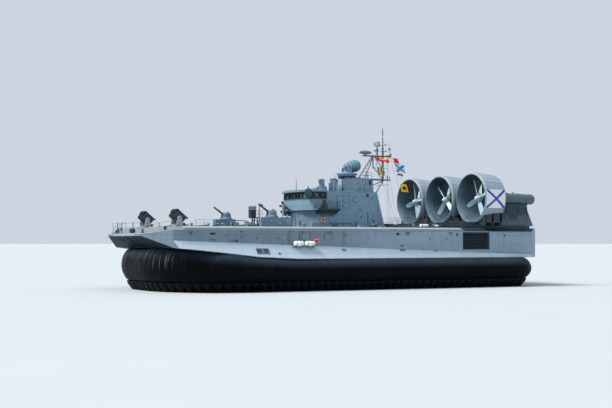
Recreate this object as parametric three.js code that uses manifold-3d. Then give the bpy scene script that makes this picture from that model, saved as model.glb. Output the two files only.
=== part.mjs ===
// Large air-cushion landing craft, modelled at half its real size.
// Every length below is in metres of the real craft, and put() turns it into millimetres of the model.
// The bow is +X, the port side is +Y, the ground is Z = 0 and X = 0 is the middle of the length.
import * as THREE from 'three';
import { mergeVertices } from 'three/addons/utils/BufferGeometryUtils.js';
import Module from 'manifold-3d';

const wasm = await Module();
wasm.setup();

// Scale and fits
const MM_PER_METRE = 500;
const GAP = 0.0006;
const SLACK = 0.03;
const CLEAR = 0.012;

// Main dimensions
const HALF_LENGTH = 28.65;
const DECK_Z = 7.9;
const DECK_EDGE_Z = 7.45;
const DECK_EDGE_Y = 10.5;
const DECK_FLAT_Y = 9.3;
const DECK_PLATE = 0.3;
const BOW_SLOPE_X = 24.65;
const BOW_TOP_Z = 6.95;
const BOW_KEEL_Z = 6.75;
const HULL_BASE_Z = 3.94;
const BAY_Y = 3.3;
const BAY_LEDGE_Y = 4.0;
const STERN_X = -HALF_LENGTH;

// Skirt
const SKIRT_BEAM = 12.8;
const SKIRT_BOW_X = 27.7;
const SKIRT_STERN_X = -28.2;
const FINGER_TOP_Z = 1.12;
const SPINE_INSET = 1.6;

// Fans
const DUCT_Y = 7.75;
const DUCT_Z = 12.0;
const DUCT_FRONT_X = -18.13;
const DUCT_BACK_X = -21.6;
const DUCT_LIP_R = 3.5;
const DUCT_TAIL_R = 3.2;
const DUCT_THROAT_R = 2.88;
const PROP_X = -19.4;
const PROP_R = 2.76;
const POD_R = 0.78;

// Paints and coverings
const paint = (name, color, roughness, metalness) =>
  new THREE.MeshStandardMaterial({ name, color, roughness, metalness });
const SIDE_GREY = paint('side_grey', 0x71879a, 0.62, 0.1);
const PALE_GREY = paint('pale_grey', 0xa3b1bd, 0.6, 0.1);
const HOUSE_GREY = paint('house_grey', 0x71879a, 0.6, 0.1);
const DARK_GREY = paint('dark_grey', 0x39444d, 0.65, 0.2);
const BLACK_RUBBER = paint('black_rubber', 0x14161a, 0.85, 0.0);
const DUCT_GREY = paint('duct_grey', 0x8b99a6, 0.55, 0.1);
const BLADE_GREY = paint('blade_grey', 0xb9c3ca, 0.4, 0.2);
const WINDOW = new THREE.MeshStandardMaterial({
  name: 'window', color: 0x1c2a30, roughness: 0.1, metalness: 0.0, transparent: true, opacity: 0.5,
});
const RAFT_WHITE = paint('raft_white', 0xeef0ee, 0.5, 0.0);

// Solids from three.js shapes
const X_AXIS = new THREE.Vector3(1, 0, 0);
const Y_AXIS = new THREE.Vector3(0, 1, 0);
const Z_AXIS = new THREE.Vector3(0, 0, 1);

function solid(geometry) {
  geometry.deleteAttribute('normal');
  geometry.deleteAttribute('uv');
  const merged = mergeVertices(geometry, 1e-5);
  return new wasm.Manifold(new wasm.Mesh({
    numProp: 3,
    vertProperties: new Float32Array(merged.attributes.position.array),
    triVerts: new Uint32Array(merged.index.array),
  }));
}

function box(x0, x1, y0, y1, z0, z1) {
  const geometry = new THREE.BoxGeometry(x1 - x0, y1 - y0, z1 - z0);
  geometry.translate((x0 + x1) / 2, (y0 + y1) / 2, (z0 + z1) / 2);
  return solid(geometry);
}

function outline(points) {
  return new THREE.Shape(points.map(([a, b]) => new THREE.Vector2(a, b)));
}

function slab(shape, depth) {
  return new THREE.ExtrudeGeometry(shape, { depth, bevelEnabled: false, curveSegments: 12 });
}

// Points are [x, y], extruded up from z0 to z1.
function prismZ(points, z0, z1) {
  const geometry = slab(outline(points), z1 - z0);
  geometry.translate(0, 0, z0);
  return solid(geometry);
}

// Points are [x, z], extruded across from y0 to y1.
function prismY(points, y0, y1) {
  const geometry = slab(outline(points), y1 - y0);
  geometry.applyMatrix4(new THREE.Matrix4().makeBasis(X_AXIS, Z_AXIS, new THREE.Vector3(0, -1, 0)));
  geometry.translate(0, y1, 0);
  return solid(geometry);
}

// Points are [y, z], extruded forward from x0 to x1.
function prismX(points, x0, x1) {
  const geometry = slab(outline(points), x1 - x0);
  geometry.applyMatrix4(new THREE.Matrix4().makeBasis(Y_AXIS, Z_AXIS, X_AXIS));
  geometry.translate(x0, 0, 0);
  return solid(geometry);
}

// A round bar or cone between two points.
function bar(from, to, r0, r1 = r0, sides = 8) {
  const a = new THREE.Vector3(...from);
  const b = new THREE.Vector3(...to);
  const along = b.clone().sub(a);
  const geometry = new THREE.CylinderGeometry(r1, r0, along.length(), sides);
  geometry.applyQuaternion(new THREE.Quaternion().setFromUnitVectors(Y_AXIS, along.clone().normalize()));
  geometry.translate(...a.add(b).divideScalar(2).toArray());
  return solid(geometry);
}

// A profile is listed either way round and spun with its faces outward.
function profilePoints(profile) {
  const points = profile.map(([r, h]) => new THREE.Vector2(r, h));
  return THREE.ShapeUtils.area(points) < 0 ? points.reverse() : points;
}

// Profile points are [radius, height], spun round a standing line at x, y.
function spunZ(profile, x, y, sides = 20) {
  const geometry = new THREE.LatheGeometry(profilePoints(profile), sides);
  geometry.rotateX(Math.PI / 2);
  geometry.translate(x, y, 0);
  return solid(geometry);
}

// Profile points are [radius, x], spun round a fore-and-aft line at y, z.
function spunX(profile, y, z, sides = 36) {
  const geometry = new THREE.LatheGeometry(profilePoints(profile), sides);
  geometry.applyMatrix4(new THREE.Matrix4().makeBasis(Z_AXIS, X_AXIS, Y_AXIS));
  geometry.translate(0, y, z);
  return solid(geometry);
}

const join = (...pieces) => pieces.reduce((sum, piece) => sum.add(piece));
const mirrored = (piece) => piece.mirror([0, 1, 0]);
const standingAt = (z, piece) =>
  piece.subtract(box(-HALF_LENGTH, HALF_LENGTH, -SKIRT_BEAM, SKIRT_BEAM, 0, z));
const degrees = THREE.MathUtils.degToRad;

const craft = new THREE.Group();
craft.name = 'hovercraft';

function put(name, piece, material) {
  const mesh = piece.getMesh();
  const geometry = new THREE.BufferGeometry();
  const places = Float32Array.from(mesh.vertProperties, (value) => value * MM_PER_METRE);
  geometry.setAttribute('position', new THREE.BufferAttribute(places, 3));
  geometry.setIndex(new THREE.BufferAttribute(new Uint32Array(mesh.triVerts), 1));
  geometry.computeVertexNormals();
  const node = new THREE.Mesh(geometry, material);
  node.name = name;
  craft.add(node);
}

// Underside of the side hulls as [x, z], from the raked bow to the level run aft
const UNDERSIDE = [
  [HALF_LENGTH, BOW_KEEL_Z], [26.1, 5.3], [23.4, 5.04], [19.7, 4.65], [15.8, 4.2], [10.4, HULL_BASE_Z],
];
const SKY_Z = 9;

function aboveUnderside(drop, y0, y1) {
  const edge = UNDERSIDE.map(([x, z]) => [x, z - drop]);
  return prismY([...edge, [STERN_X, HULL_BASE_Z - drop], [STERN_X, SKY_Z], [HALF_LENGTH, SKY_Z]], y0, y1);
}

// Deck plate over the vehicle bay, as [x, z]
function deckStrip(grow) {
  const under = DECK_Z - DECK_PLATE - grow;
  return [[HALF_LENGTH, BOW_KEEL_Z - grow], [HALF_LENGTH, BOW_TOP_Z], [BOW_SLOPE_X, DECK_Z],
    [STERN_X, DECK_Z], [STERN_X, under], [BOW_SLOPE_X, under]];
}

// Side hull: an upper body with a bevelled deck edge, and a sloping sponson below a rising crease
const CREASE_X = 11.1;
const CREASE_Z = 5.68;
const CREASE_RISE = Math.atan(0.0356);
const SPONSON_SLOPE = 0.852;
const SPONSON_Y = 12.05;
const SPONSON_DEEP = 4;

const SLOPE_FIT = 1.314;

// The sloping sponson, as it is or grown by a fit all round
function sponsonWedge(grow) {
  const inside = DECK_EDGE_Y - 1;
  const crease = DECK_EDGE_Y + SLOPE_FIT * grow;
  const foot = crease + SPONSON_SLOPE * SPONSON_DEEP;
  const wedge = [[inside, 0], [crease, 0], [foot, -SPONSON_DEEP], [inside, -SPONSON_DEEP]];
  return prismX(wedge, -60, 60)
    .rotate([0, -THREE.MathUtils.radToDeg(CREASE_RISE), 0])
    .translate([CREASE_X, 0, CREASE_Z]);
}

function sideHull() {
  const section = [[BAY_Y, 3], [DECK_EDGE_Y, 3], [DECK_EDGE_Y, DECK_EDGE_Z], [DECK_FLAT_Y, DECK_Z + GAP],
    [BAY_Y, DECK_Z + GAP]];
  const plan = [[HALF_LENGTH, BAY_Y], [HALF_LENGTH, 6.2], [26.2, DECK_EDGE_Y], [25.3, SPONSON_Y],
    [-25.4, SPONSON_Y], [-26.4, DECK_EDGE_Y], [STERN_X, 8.4], [STERN_X, BAY_Y]];
  const deckLine = [
    [HALF_LENGTH, 3], [HALF_LENGTH, BOW_TOP_Z], [BOW_SLOPE_X, DECK_Z], [STERN_X, DECK_Z], [STERN_X, 3],
  ];
  const body = prismX(section, STERN_X, HALF_LENGTH)
    .intersect(prismY(deckLine, BAY_Y, DECK_EDGE_Y))
    .add(sponsonWedge(0))
    .intersect(prismZ(plan, 3, SKY_Z))
    .intersect(aboveUnderside(0, BAY_Y, SPONSON_Y));
  const ledge = prismY(deckStrip(GAP), BAY_Y - 1, BAY_LEDGE_Y);
  const ledgeTop = box(STERN_X, HALF_LENGTH, BAY_Y - 1, BAY_LEDGE_Y, DECK_Z - DECK_PLATE / 2, SKY_Z);
  return body.subtract(ledge).subtract(ledgeTop);
}

// Air intake recess with its slats, low in the side near the stern
const INTAKE = { aft: -19.2, fore: -14.8, low: 5.0, high: 7.3, deep: 0.7 };
const SLATS = 9;

function intakeRecess() {
  return box(INTAKE.aft, INTAKE.fore, DECK_EDGE_Y - INTAKE.deep, SPONSON_Y + 1, INTAKE.low, INTAKE.high);
}

function intakeSlats() {
  const pitch = (INTAKE.high - INTAKE.low) / SLATS;
  const leaf = [[DECK_EDGE_Y - INTAKE.deep - 0.1, 0.1], [DECK_EDGE_Y - 0.12, 0], [DECK_EDGE_Y - 0.12, 0.06],
    [DECK_EDGE_Y - INTAKE.deep - 0.1, 0.16]];
  const slats = [];
  for (let i = 0; i < SLATS; i += 1) {
    const z = INTAKE.low + pitch * (i + 0.3);
    slats.push(prismX(leaf.map(([y, h]) => [y, z + h]), INTAKE.aft - 0.1, INTAKE.fore + 0.1));
  }
  return join(...slats);
}

const portHull = sideHull().subtract(intakeRecess()).add(intakeSlats());
put('hull_port', portHull, SIDE_GREY);
put('hull_starboard', mirrored(portHull), SIDE_GREY);

// Deck plate that roofs the bay
const BAY_PLATE_Y = BAY_LEDGE_Y - GAP;
put('deck_centre', prismY(deckStrip(0), -BAY_PLATE_Y, BAY_PLATE_Y), PALE_GREY);

// Skirt plan: half of a long ring, from the bow round the port side to the stern
const BOW_CORNER = { x: 18, flat: 2 };
const STERN_CORNER = { x: -22, flat: 5 };
const PLAN_STEPS = 60;

function halfRing(out, startY) {
  const beam = SKIRT_BEAM - SPINE_INSET + out;
  const bow = SKIRT_BOW_X - SPINE_INSET + out;
  const stern = SKIRT_STERN_X + SPINE_INSET - out;
  const path = new THREE.Path();
  path.moveTo(bow, startY);
  path.lineTo(bow, BOW_CORNER.flat);
  path.absellipse(BOW_CORNER.x, BOW_CORNER.flat, bow - BOW_CORNER.x, beam - BOW_CORNER.flat,
    0, Math.PI / 2, false, 0);
  path.lineTo(STERN_CORNER.x, beam);
  path.absellipse(STERN_CORNER.x, STERN_CORNER.flat, STERN_CORNER.x - stern, beam - STERN_CORNER.flat,
    Math.PI / 2, Math.PI, false, 0);
  path.lineTo(stern, startY);
  return path;
}

const bothSides = (port) => [...port, ...port.slice(1, -1).reverse().map(([x, y]) => [x, -y])];
const ringPlan = (out) =>
  bothSides(halfRing(out, 0).getSpacedPoints(PLAN_STEPS).map((place) => [place.x, place.y]));

class RingLine extends THREE.Curve {
  constructor(path) {
    super();
    this.path = path;
  }

  getPoint(t, target = new THREE.Vector3()) {
    const place = this.path.getPointAt(t);
    return target.set(place.x, place.y, 0);
  }
}

// Height of the hull's underside above a place, for the skirt to follow
function undersideAt(x) {
  if (x <= UNDERSIDE.at(-1)[0]) return HULL_BASE_Z;
  for (let i = UNDERSIDE.length - 1; i > 1; i -= 1) {
    const [x0, z0] = UNDERSIDE[i];
    const [x1, z1] = UNDERSIDE[i - 1];
    if (x < x1) return z0 + (z1 - z0) * (x - x0) / (x1 - x0);
  }
  return UNDERSIDE[1][1];
}

// Section of the air bag as [outward from its spine, height]
const BAG_SECTION = [
  [0.45, 3.94], [1.1, 3.6], [1.5, 3.05], [1.6, 2.5], [1.45, 1.9], [1.0, 1.36], [0.4, FINGER_TOP_Z],
  [-0.6, FINGER_TOP_Z], [-1.1, 1.5], [-1.4, 2.4], [-1.4, 3.94],
];
const BAG_STEPS = 52;

function airBag() {
  const geometry = new THREE.ExtrudeGeometry(outline(BAG_SECTION.map(([out, z]) => [-z, -out])), {
    steps: BAG_STEPS, extrudePath: new RingLine(halfRing(0, -0.4)), bevelEnabled: false,
  });
  const places = geometry.attributes.position;
  for (let i = 0; i < places.count; i += 1) {
    const lift = (undersideAt(places.getX(i)) + SLACK - FINGER_TOP_Z) / (HULL_BASE_Z - FINGER_TOP_Z);
    places.setZ(i, FINGER_TOP_Z + (places.getZ(i) - FINGER_TOP_Z) * lift);
  }
  const half = solid(geometry);
  const rampSaddle = prismY([[26.12, 5.8], [26.12, 5.24], [28.5, 4.6], [28.5, 5.8]], -BAY_Y, BAY_Y);
  return half.add(mirrored(half))
    .subtract(aboveUnderside(GAP, -SKIRT_BEAM - 1, SKIRT_BEAM + 1))
    .subtract(rampSaddle);
}

put('skirt_bag', airBag(), BLACK_RUBBER);

// Fingers: a scalloped ring from the bag to the ground, leaning in as it goes down
const FINGERS = 62;
const FINGER_STEPS = 3;
const FINGER_BULGE = 0.3;
const FINGER_OUT = 0.75;
const FINGER_IN = -0.35;
const FINGER_LEAN = 0.65;

function fingerRing() {
  const outer = halfRing(FINGER_OUT, 0);
  const port = [];
  const count = FINGERS * FINGER_STEPS;
  for (let i = 0; i <= count; i += 1) {
    const place = outer.getPointAt(i / count);
    const ahead = outer.getTangentAt(i / count);
    const bulge = FINGER_BULGE * Math.sin(Math.PI * (i % FINGER_STEPS) / FINGER_STEPS);
    port.push([place.x + ahead.y * bulge, place.y - ahead.x * bulge]);
  }
  const shape = outline(bothSides(port));
  shape.holes.push(outline(ringPlan(FINGER_IN)));
  const geometry = slab(shape, FINGER_TOP_Z - GAP);
  const places = geometry.attributes.position;
  for (let i = 0; i < places.count; i += 1) {
    const lean = 1 - FINGER_LEAN * (1 - places.getZ(i) / FINGER_TOP_Z) / SKIRT_BEAM;
    places.setY(i, places.getY(i) * lean);
    places.setX(i, places.getX(i) * (1 - (1 - lean) * SKIRT_BEAM / HALF_LENGTH));
  }
  return solid(geometry);
}

put('skirt_fingers', fingerRing(), BLACK_RUBBER);

// Pontoon inside the skirt, with landing pads under it
const PONTOON = { low: 2.4, stern: -25, bow: 24.6 };
const PAD_LOW_Z = 1.8;
const RING_INSIDE = -1.75;
const FLOOR_THICK = 0.12;
const SILL_X = 26.1;
const SILL_Z = 5.3;
const APRON = { footX: 20, topX: 24.4, topZ: 5.2 };
const FLOOR_STERN_X = STERN_X + 0.35;
const floorUnder = [
  [SILL_X, SILL_Z], [APRON.topX, APRON.topZ], [APRON.footX, HULL_BASE_Z], [FLOOR_STERN_X, HULL_BASE_Z],
];

function pontoon() {
  const body = prismY([[PONTOON.stern, 5.2], [PONTOON.stern, 3.2], [PONTOON.stern + 1.4, PONTOON.low],
    [PONTOON.bow - 3.2, PONTOON.low], [PONTOON.bow, 4.6], [PONTOON.bow, 5.2]], -SKIRT_BEAM, SKIRT_BEAM);
  const bayUnder = [...floorUnder, [STERN_X, HULL_BASE_Z]].map(([x, z]) => [x, z - 2 * GAP]);
  const bay = prismY([...bayUnder, [STERN_X, 6], [SILL_X, 6]], -BAY_Y, BAY_Y);
  const pads = [-6.2, 0, 6.2].map((y) => prismX([[y - 0.7, PAD_LOW_Z], [y + 0.7, PAD_LOW_Z], [y + 0.9, 2.5],
    [y - 0.9, 2.5]], -20, 17));
  return body.intersect(prismZ(ringPlan(RING_INSIDE), 0, SKY_Z))
    .subtract(aboveUnderside(GAP, -SKIRT_BEAM, SKIRT_BEAM))
    .subtract(bay)
    .add(join(...pads));
}

put('centre_pontoon', pontoon(), DARK_GREY);

// Floor of the vehicle bay, with an apron that climbs over the skirt to the bow sill
const floorTop = [[FLOOR_STERN_X, HULL_BASE_Z + FLOOR_THICK], [APRON.footX, HULL_BASE_Z + FLOOR_THICK],
  [APRON.topX, APRON.topZ + FLOOR_THICK], [SILL_X, SILL_Z + FLOOR_THICK]];
put('bay_floor', prismY([...floorUnder, ...floorTop], -BAY_Y + GAP, BAY_Y - GAP), DARK_GREY);

// Keel and cross skirts that part the cushion into chambers
const KEEL = { y: 0.45, low: 0.5, fore: 20, aft: -23 };
const CROSS = { x: -3, y: 9.2 };
const keelSection = [[-0.2, KEEL.low], [0.2, KEEL.low], [KEEL.y, PAD_LOW_Z - GAP], [-KEEL.y, PAD_LOW_Z - GAP]];
const keel = prismX(keelSection, KEEL.aft, KEEL.fore);
const crossBar = prismY(keelSection.map(([x, z]) => [CROSS.x + x, z]), -CROSS.y, CROSS.y);
put('stability_skirts', join(keel, crossBar), BLACK_RUBBER);

// Ramps
const RAMP_Y = BAY_Y - 0.1;
const RAKE = (BOW_KEEL_Z - SILL_Z) / (HALF_LENGTH - SILL_X);
const RAMP_THICK = 0.2;
const rakeZ = (x) => BOW_KEEL_Z - (HALF_LENGTH - x) * RAKE;
const RAMP_ROOT_X = SILL_X + 0.09;
const hingePin = (x, z, r) => bar([x, -BAY_Y + GAP, z], [x, BAY_Y - GAP, z], r, r, 12);
const RAMP_TIP_X = HALF_LENGTH - SLACK;
const RAMP_BACK_X = RAMP_TIP_X - 0.3;
const bowRamp = prismY([
  [RAMP_ROOT_X, rakeZ(RAMP_ROOT_X)], [RAMP_TIP_X, rakeZ(RAMP_TIP_X)],
  [RAMP_BACK_X, rakeZ(RAMP_BACK_X) + RAMP_THICK - SLACK], [RAMP_ROOT_X, rakeZ(RAMP_ROOT_X) + RAMP_THICK],
], -RAMP_Y, RAMP_Y);
put('bow_ramp', join(bowRamp, hingePin(RAMP_ROOT_X + 0.04, 5.44, 0.05)), DARK_GREY);
const STERN_DOOR = { low: HULL_BASE_Z + 0.06, high: 7.54, thick: 0.28 };
put('stern_ramp', join(
  box(STERN_X + 0.02, STERN_X + STERN_DOOR.thick, -RAMP_Y, RAMP_Y, STERN_DOOR.low, STERN_DOOR.high),
  hingePin(STERN_X + 0.15, STERN_DOOR.low + 0.1, 0.06),
), SIDE_GREY);

// Deckhouse with its raked aft face, side platforms and a ledge for the bridge
const DECK_SEAT = DECK_Z + GAP;
const HOUSE = { fore: 4.75, aft: -6.53, y: 4.2, topY: 3.95, top: 12.7, bridgeFloor: 11.4, bridgeAft: 2.4 };
const HOUSE_RAKE = 0.228;
const LEDGE = { low: 10.2, high: 10.32, leanX: 0.08, leanY: 0.98 };
const houseAftAt = (z) => HOUSE.aft + HOUSE_RAKE * (z - DECK_Z);

const BRIDGE = { fore: 5.15, corner: 4.45, nose: 2.3, y: 4.25, top: 12.6, wall: 0.12 };

function bridgePlan(grow) {
  const fore = BRIDGE.fore + grow;
  const corner = BRIDGE.corner + grow * 0.5;
  const side = BRIDGE.y + grow;
  const nose = BRIDGE.nose + grow * 0.3;
  const back = HOUSE.bridgeAft + GAP;
  return [[back, -side], [corner, -side], [fore, -nose], [fore, nose], [corner, side], [back, side]];
}

// The wall under the windows leans in towards the ledge
function wallUnderWindows() {
  const high = HOUSE.bridgeFloor - LEDGE.low;
  const geometry = slab(outline(bridgePlan(0)), high);
  const places = geometry.attributes.position;
  for (let i = 0; i < places.count; i += 1) {
    const drop = 1 - places.getZ(i) / high;
    places.setX(i, places.getX(i) - LEDGE.leanX * drop);
    places.setY(i, places.getY(i) * (1 - (1 - LEDGE.leanY) * drop));
  }
  return solid(geometry).translate([0, 0, LEDGE.low]);
}

function deckhouse() {
  const profile = [
    [HOUSE.fore, DECK_SEAT], [HOUSE.fore, HOUSE.bridgeFloor], [HOUSE.bridgeAft, HOUSE.bridgeFloor],
    [HOUSE.bridgeAft, HOUSE.top], [houseAftAt(HOUSE.top), HOUSE.top], [HOUSE.aft, DECK_SEAT],
  ];
  const plan = [
    [HOUSE.fore, -1.6], [HOUSE.fore, 1.6], [3.5, HOUSE.y], [-8, HOUSE.y], [-8, -HOUSE.y], [3.5, -HOUSE.y],
  ];
  const section = [
    [-HOUSE.y, DECK_SEAT], [HOUSE.y, DECK_SEAT], [HOUSE.topY, HOUSE.top], [-HOUSE.topY, HOUSE.top],
  ];
  const body = prismY(profile, -HOUSE.y, HOUSE.y)
    .intersect(prismZ(plan, DECK_SEAT, HOUSE.top))
    .intersect(prismX(section, -8, HOUSE.fore));
  const ledge = [[0.74, 4.85], [4.1, 4.85], [4.5, 4.3], [5.15, 2.3], [5.15, -2.3], [4.5, -4.3], [4.1, -4.85],
    [0.74, -4.85]];
  return join(body, wallUnderWindows(), prismZ(ledge, LEDGE.low, LEDGE.high));
}

put('house', deckhouse(), HOUSE_GREY);

// Bridge: thin walls with windows cut, glazing inside them, and an overhanging roof
const WINDOWS = { low: 11.72, high: 12.44, pier: 0.09 };

function bridgeWalls() {
  const insideY = BRIDGE.y - BRIDGE.wall;
  const room = prismZ(bridgePlan(-BRIDGE.wall), HOUSE.bridgeFloor - 1, BRIDGE.top + 1);
  const openBack = box(HOUSE.bridgeAft - 0.5, HOUSE.bridgeAft + 0.3, -insideY, insideY, 11, 13);
  const shell = prismZ(bridgePlan(0), HOUSE.bridgeFloor + GAP, BRIDGE.top).subtract(room.add(openBack));
  const cuts = [];
  const frontPanes = 5;
  const paneY = 2 * BRIDGE.nose / frontPanes;
  for (let i = 0; i < frontPanes; i += 1) {
    const y = -BRIDGE.nose + paneY * i;
    cuts.push(box(4.9, 5.5, y + WINDOWS.pier, y + paneY - WINDOWS.pier, WINDOWS.low, WINDOWS.high));
  }
  // Side panes as [aft end, fore end]
  for (const [aft, fore] of [[2.6, 3.2], [3.35, 4.25]]) {
    cuts.push(box(aft, fore, -5, 5, WINDOWS.low, WINDOWS.high));
  }
  // Slanting corner panes, one each side
  const [cornerX, cornerY] = [BRIDGE.corner, BRIDGE.y];
  const run = new THREE.Vector2(BRIDGE.fore - cornerX, BRIDGE.nose - cornerY);
  const unit = run.clone().normalize();
  const across = new THREE.Vector2(-unit.y, unit.x);
  const near = (s, d) => [cornerX + unit.x * s + across.x * d, cornerY + unit.y * s + across.y * d];
  for (const [from, to] of [[0.16, 0.94], [1.1, run.length() - 0.16]]) {
    const pane = prismZ([near(from, -0.3), near(from, 0.5), near(to, 0.5), near(to, -0.3)],
      WINDOWS.low, WINDOWS.high);
    cuts.push(pane, mirrored(pane));
  }
  return shell.subtract(join(...cuts));
}

put('bridge_walls', bridgeWalls(), HOUSE_GREY);
const GLASS_OUT = -BRIDGE.wall - 0.005;
const GLASS_IN = GLASS_OUT - 0.03;
put('bridge_glazing', prismZ(bridgePlan(GLASS_OUT), HOUSE.bridgeFloor + 2 * GAP, BRIDGE.top - GAP)
  .subtract(prismZ(bridgePlan(GLASS_IN), 11, 13).add(box(2, 2.7, -4, 4, 11, 13))), WINDOW);
put('bridge_roof', prismZ(bridgePlan(0.28), BRIDGE.top + GAP, BRIDGE.top + 0.2), HOUSE_GREY);
put('bridge_console', box(3.9, 4.35, -2.6, 2.6, HOUSE.bridgeFloor + GAP, 12.0), DARK_GREY);

// Upper tower, its platform and what stands on the house roof
const ROOF_SEAT = HOUSE.top + GAP;
const TOWER = { nose: -1.95, noseY: 0.4, shoulder: -2.65, aft: -5.42, aftTop: -5.34, y: 3.15, topY: 3.05, top: 14.58 };
const towerPlan = [
  [TOWER.aft, -TOWER.y], [TOWER.shoulder, -TOWER.y], [TOWER.nose, -TOWER.noseY], [TOWER.nose, TOWER.noseY],
  [TOWER.shoulder, TOWER.y], [TOWER.aft, TOWER.y],
];
const towerProfile = [
  [TOWER.nose, ROOF_SEAT], [TOWER.nose, TOWER.top], [TOWER.aftTop, TOWER.top], [TOWER.aft, ROOF_SEAT],
];
const towerSection = [
  [-TOWER.y, ROOF_SEAT], [TOWER.y, ROOF_SEAT], [TOWER.topY, TOWER.top], [-TOWER.topY, TOWER.top],
];
put('tower', prismZ(towerPlan, ROOF_SEAT, TOWER.top)
  .intersect(prismY(towerProfile, -TOWER.y, TOWER.y))
  .intersect(prismX(towerSection, TOWER.aft, TOWER.nose)), HOUSE_GREY);
const RADAR = { x: -3.05, seat: 15.36, eggX: -3.75, eggZ: 16.33, tilt: 11 };
const radarDrum = [
  [0, 14.7], [0.9, 14.7], [1.25, 14.97], [1.25, 15.2], [1.43, 15.2], [1.43, RADAR.seat], [0, RADAR.seat],
];
put('radar_platform', join(
  prismZ([[-2.35, -1.16], [-2.35, 1.16], [-4.65, 1.16], [-4.65, -1.16]], TOWER.top + GAP, 14.8),
  spunZ(radarDrum, RADAR.x, 0),
), HOUSE_GREY);
const eggProfile = [
  [0, 1.25], [0.3, 1.16], [0.5, 0.86], [0.66, 0.4], [0.78, -0.15], [0.8, -0.6], [0.68, -1.05],
  [0.45, -1.25], [0, -1.25],
];
const egg = spunX(eggProfile, 0, 0, 20).rotate([0, RADAR.tilt, 0]).translate([RADAR.eggX, 0, RADAR.eggZ]);
const radarFoot = [
  [0, RADAR.seat + GAP], [0.3, RADAR.seat + GAP], [0.3, RADAR.seat + CLEAR], [1.0, RADAR.seat + CLEAR],
  [0.85, 15.52], [0.42, 15.62], [0.42, 15.95], [0, 15.95],
];
put('tracking_radar', join(spunZ(radarFoot, RADAR.x, 0), egg), PALE_GREY);
// Vents as x, y, radius, top
const VENTS = [[-0.91, -0.33, 0.31, 14.63], [-0.91, 0.33, 0.31, 14.63], [-0.38, 0, 0.2, 14.02]];
const VENT_SIDES = 16;
const ventProfile = (r, top) => [
  [0, 12.75], [r - 0.05, 12.75], [r - 0.05, top - 0.2], [r, top - 0.14], [r, top - 0.03], [r - 0.05, top], [0, top],
];
put('vents', join(
  box(-1.35, -0.12, -0.8, 0.8, ROOF_SEAT, ROOF_SEAT + 0.15),
  ...VENTS.map(([x, y, r, top]) => spunZ(ventProfile(r, top), x, y, VENT_SIDES)),
), HOUSE_GREY);
const DIRECTOR = { x: 0.85, seat: 13.53, top: 14.49 };
const directorCone = [
  [0, ROOF_SEAT], [0.9, ROOF_SEAT], [0.88, 12.84], [0.72, 13.1], [0.62, DIRECTOR.seat], [0, DIRECTOR.seat],
];
put('director_base', spunZ(directorCone, DIRECTOR.x, 0, 16), HOUSE_GREY);
const LENS_Z = 14.12;
put('director_head', join(
  box(DIRECTOR.x - 0.26, DIRECTOR.x + 0.26, -0.3, 0.3, DIRECTOR.seat + CLEAR, DIRECTOR.top),
  bar([DIRECTOR.x, 0, DIRECTOR.seat + GAP], [DIRECTOR.x, 0, 13.63], 0.2, 0.2, 12),
  ...[-0.14, 0.14].map((y) => bar([DIRECTOR.x, y, LENS_Z], [DIRECTOR.x + 0.42, y, LENS_Z], 0.1, 0.1, 12)),
), HOUSE_GREY);

// Mast: a pole on a beam behind the tower, two forward legs, yards and stays
const MAST = { x: -8.8, foot: 14.4, cross: 17.9, top: 21.75 };
const NAVIGATION = { x: -6.0, seat: 18.05, z: 18.31 };
const SEARCH = { x: -7.9, seat: 18.5, low: 19.23, high: 19.92 };
const mastBars = [
  // from, to, radius
  [[MAST.x, 0, MAST.foot], [MAST.x, 0, 19.05], 0.13],
  [[MAST.x, 0.01, 19.0], [MAST.x, 0.01, MAST.top], 0.07],
  [[-5.2, 1.0, 14.5], [-7.2, 0.15, MAST.cross], 0.09],
  [[-5.2, -1.0, 14.5], [-7.2, -0.15, MAST.cross], 0.09],
  [[-5.6, 0, MAST.cross], [-10.16, 0, MAST.cross + 0.01], 0.1],
  [[MAST.x, -2.2, MAST.cross], [MAST.x, 2.2, MAST.cross], 0.07],
  [[-4.9, 0.9, 14.66], [-10.0, 0, 14.62], 0.09],
  [[-4.9, -0.9, 14.66], [-10.0, 0, 14.62], 0.09],
  [[MAST.x, 0, 14.5], [-5.3, 3.8, 12.45], 0.07],
  [[MAST.x, 0, 14.5], [-5.3, -3.8, 12.45], 0.07],
  [[SEARCH.x, 0, MAST.cross], [SEARCH.x, 0, SEARCH.seat], 0.11],
  [[-7.3, 0, 16.4], [MAST.x, 0, 14.6], 0.06],
  [[-7.3, 0, 18.0], [MAST.x, 0, 16.2], 0.06],
  [[-7.22, 0.01, 16.15], [-7.22, 0.01, 17.95], 0.075],
  [[NAVIGATION.x, 0, MAST.cross - 0.05], [NAVIGATION.x, 0, NAVIGATION.seat], 0.1],
];
const towerSpace = box(TOWER.aftTop - 0.12, TOWER.nose, -TOWER.y, TOWER.y, HOUSE.top, TOWER.top + GAP);
const houseSpace = prismY([
  [houseAftAt(12) - GAP, 12], [houseAftAt(HOUSE.top) - GAP, HOUSE.top], [0, HOUSE.top], [0, 12],
], -HOUSE.y, HOUSE.y);
const mast = join(...mastBars.map(([from, to, r]) => bar(from, to, r, r, 6)));
put('mast', mast.subtract(join(towerSpace, houseSpace)), HOUSE_GREY);
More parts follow.
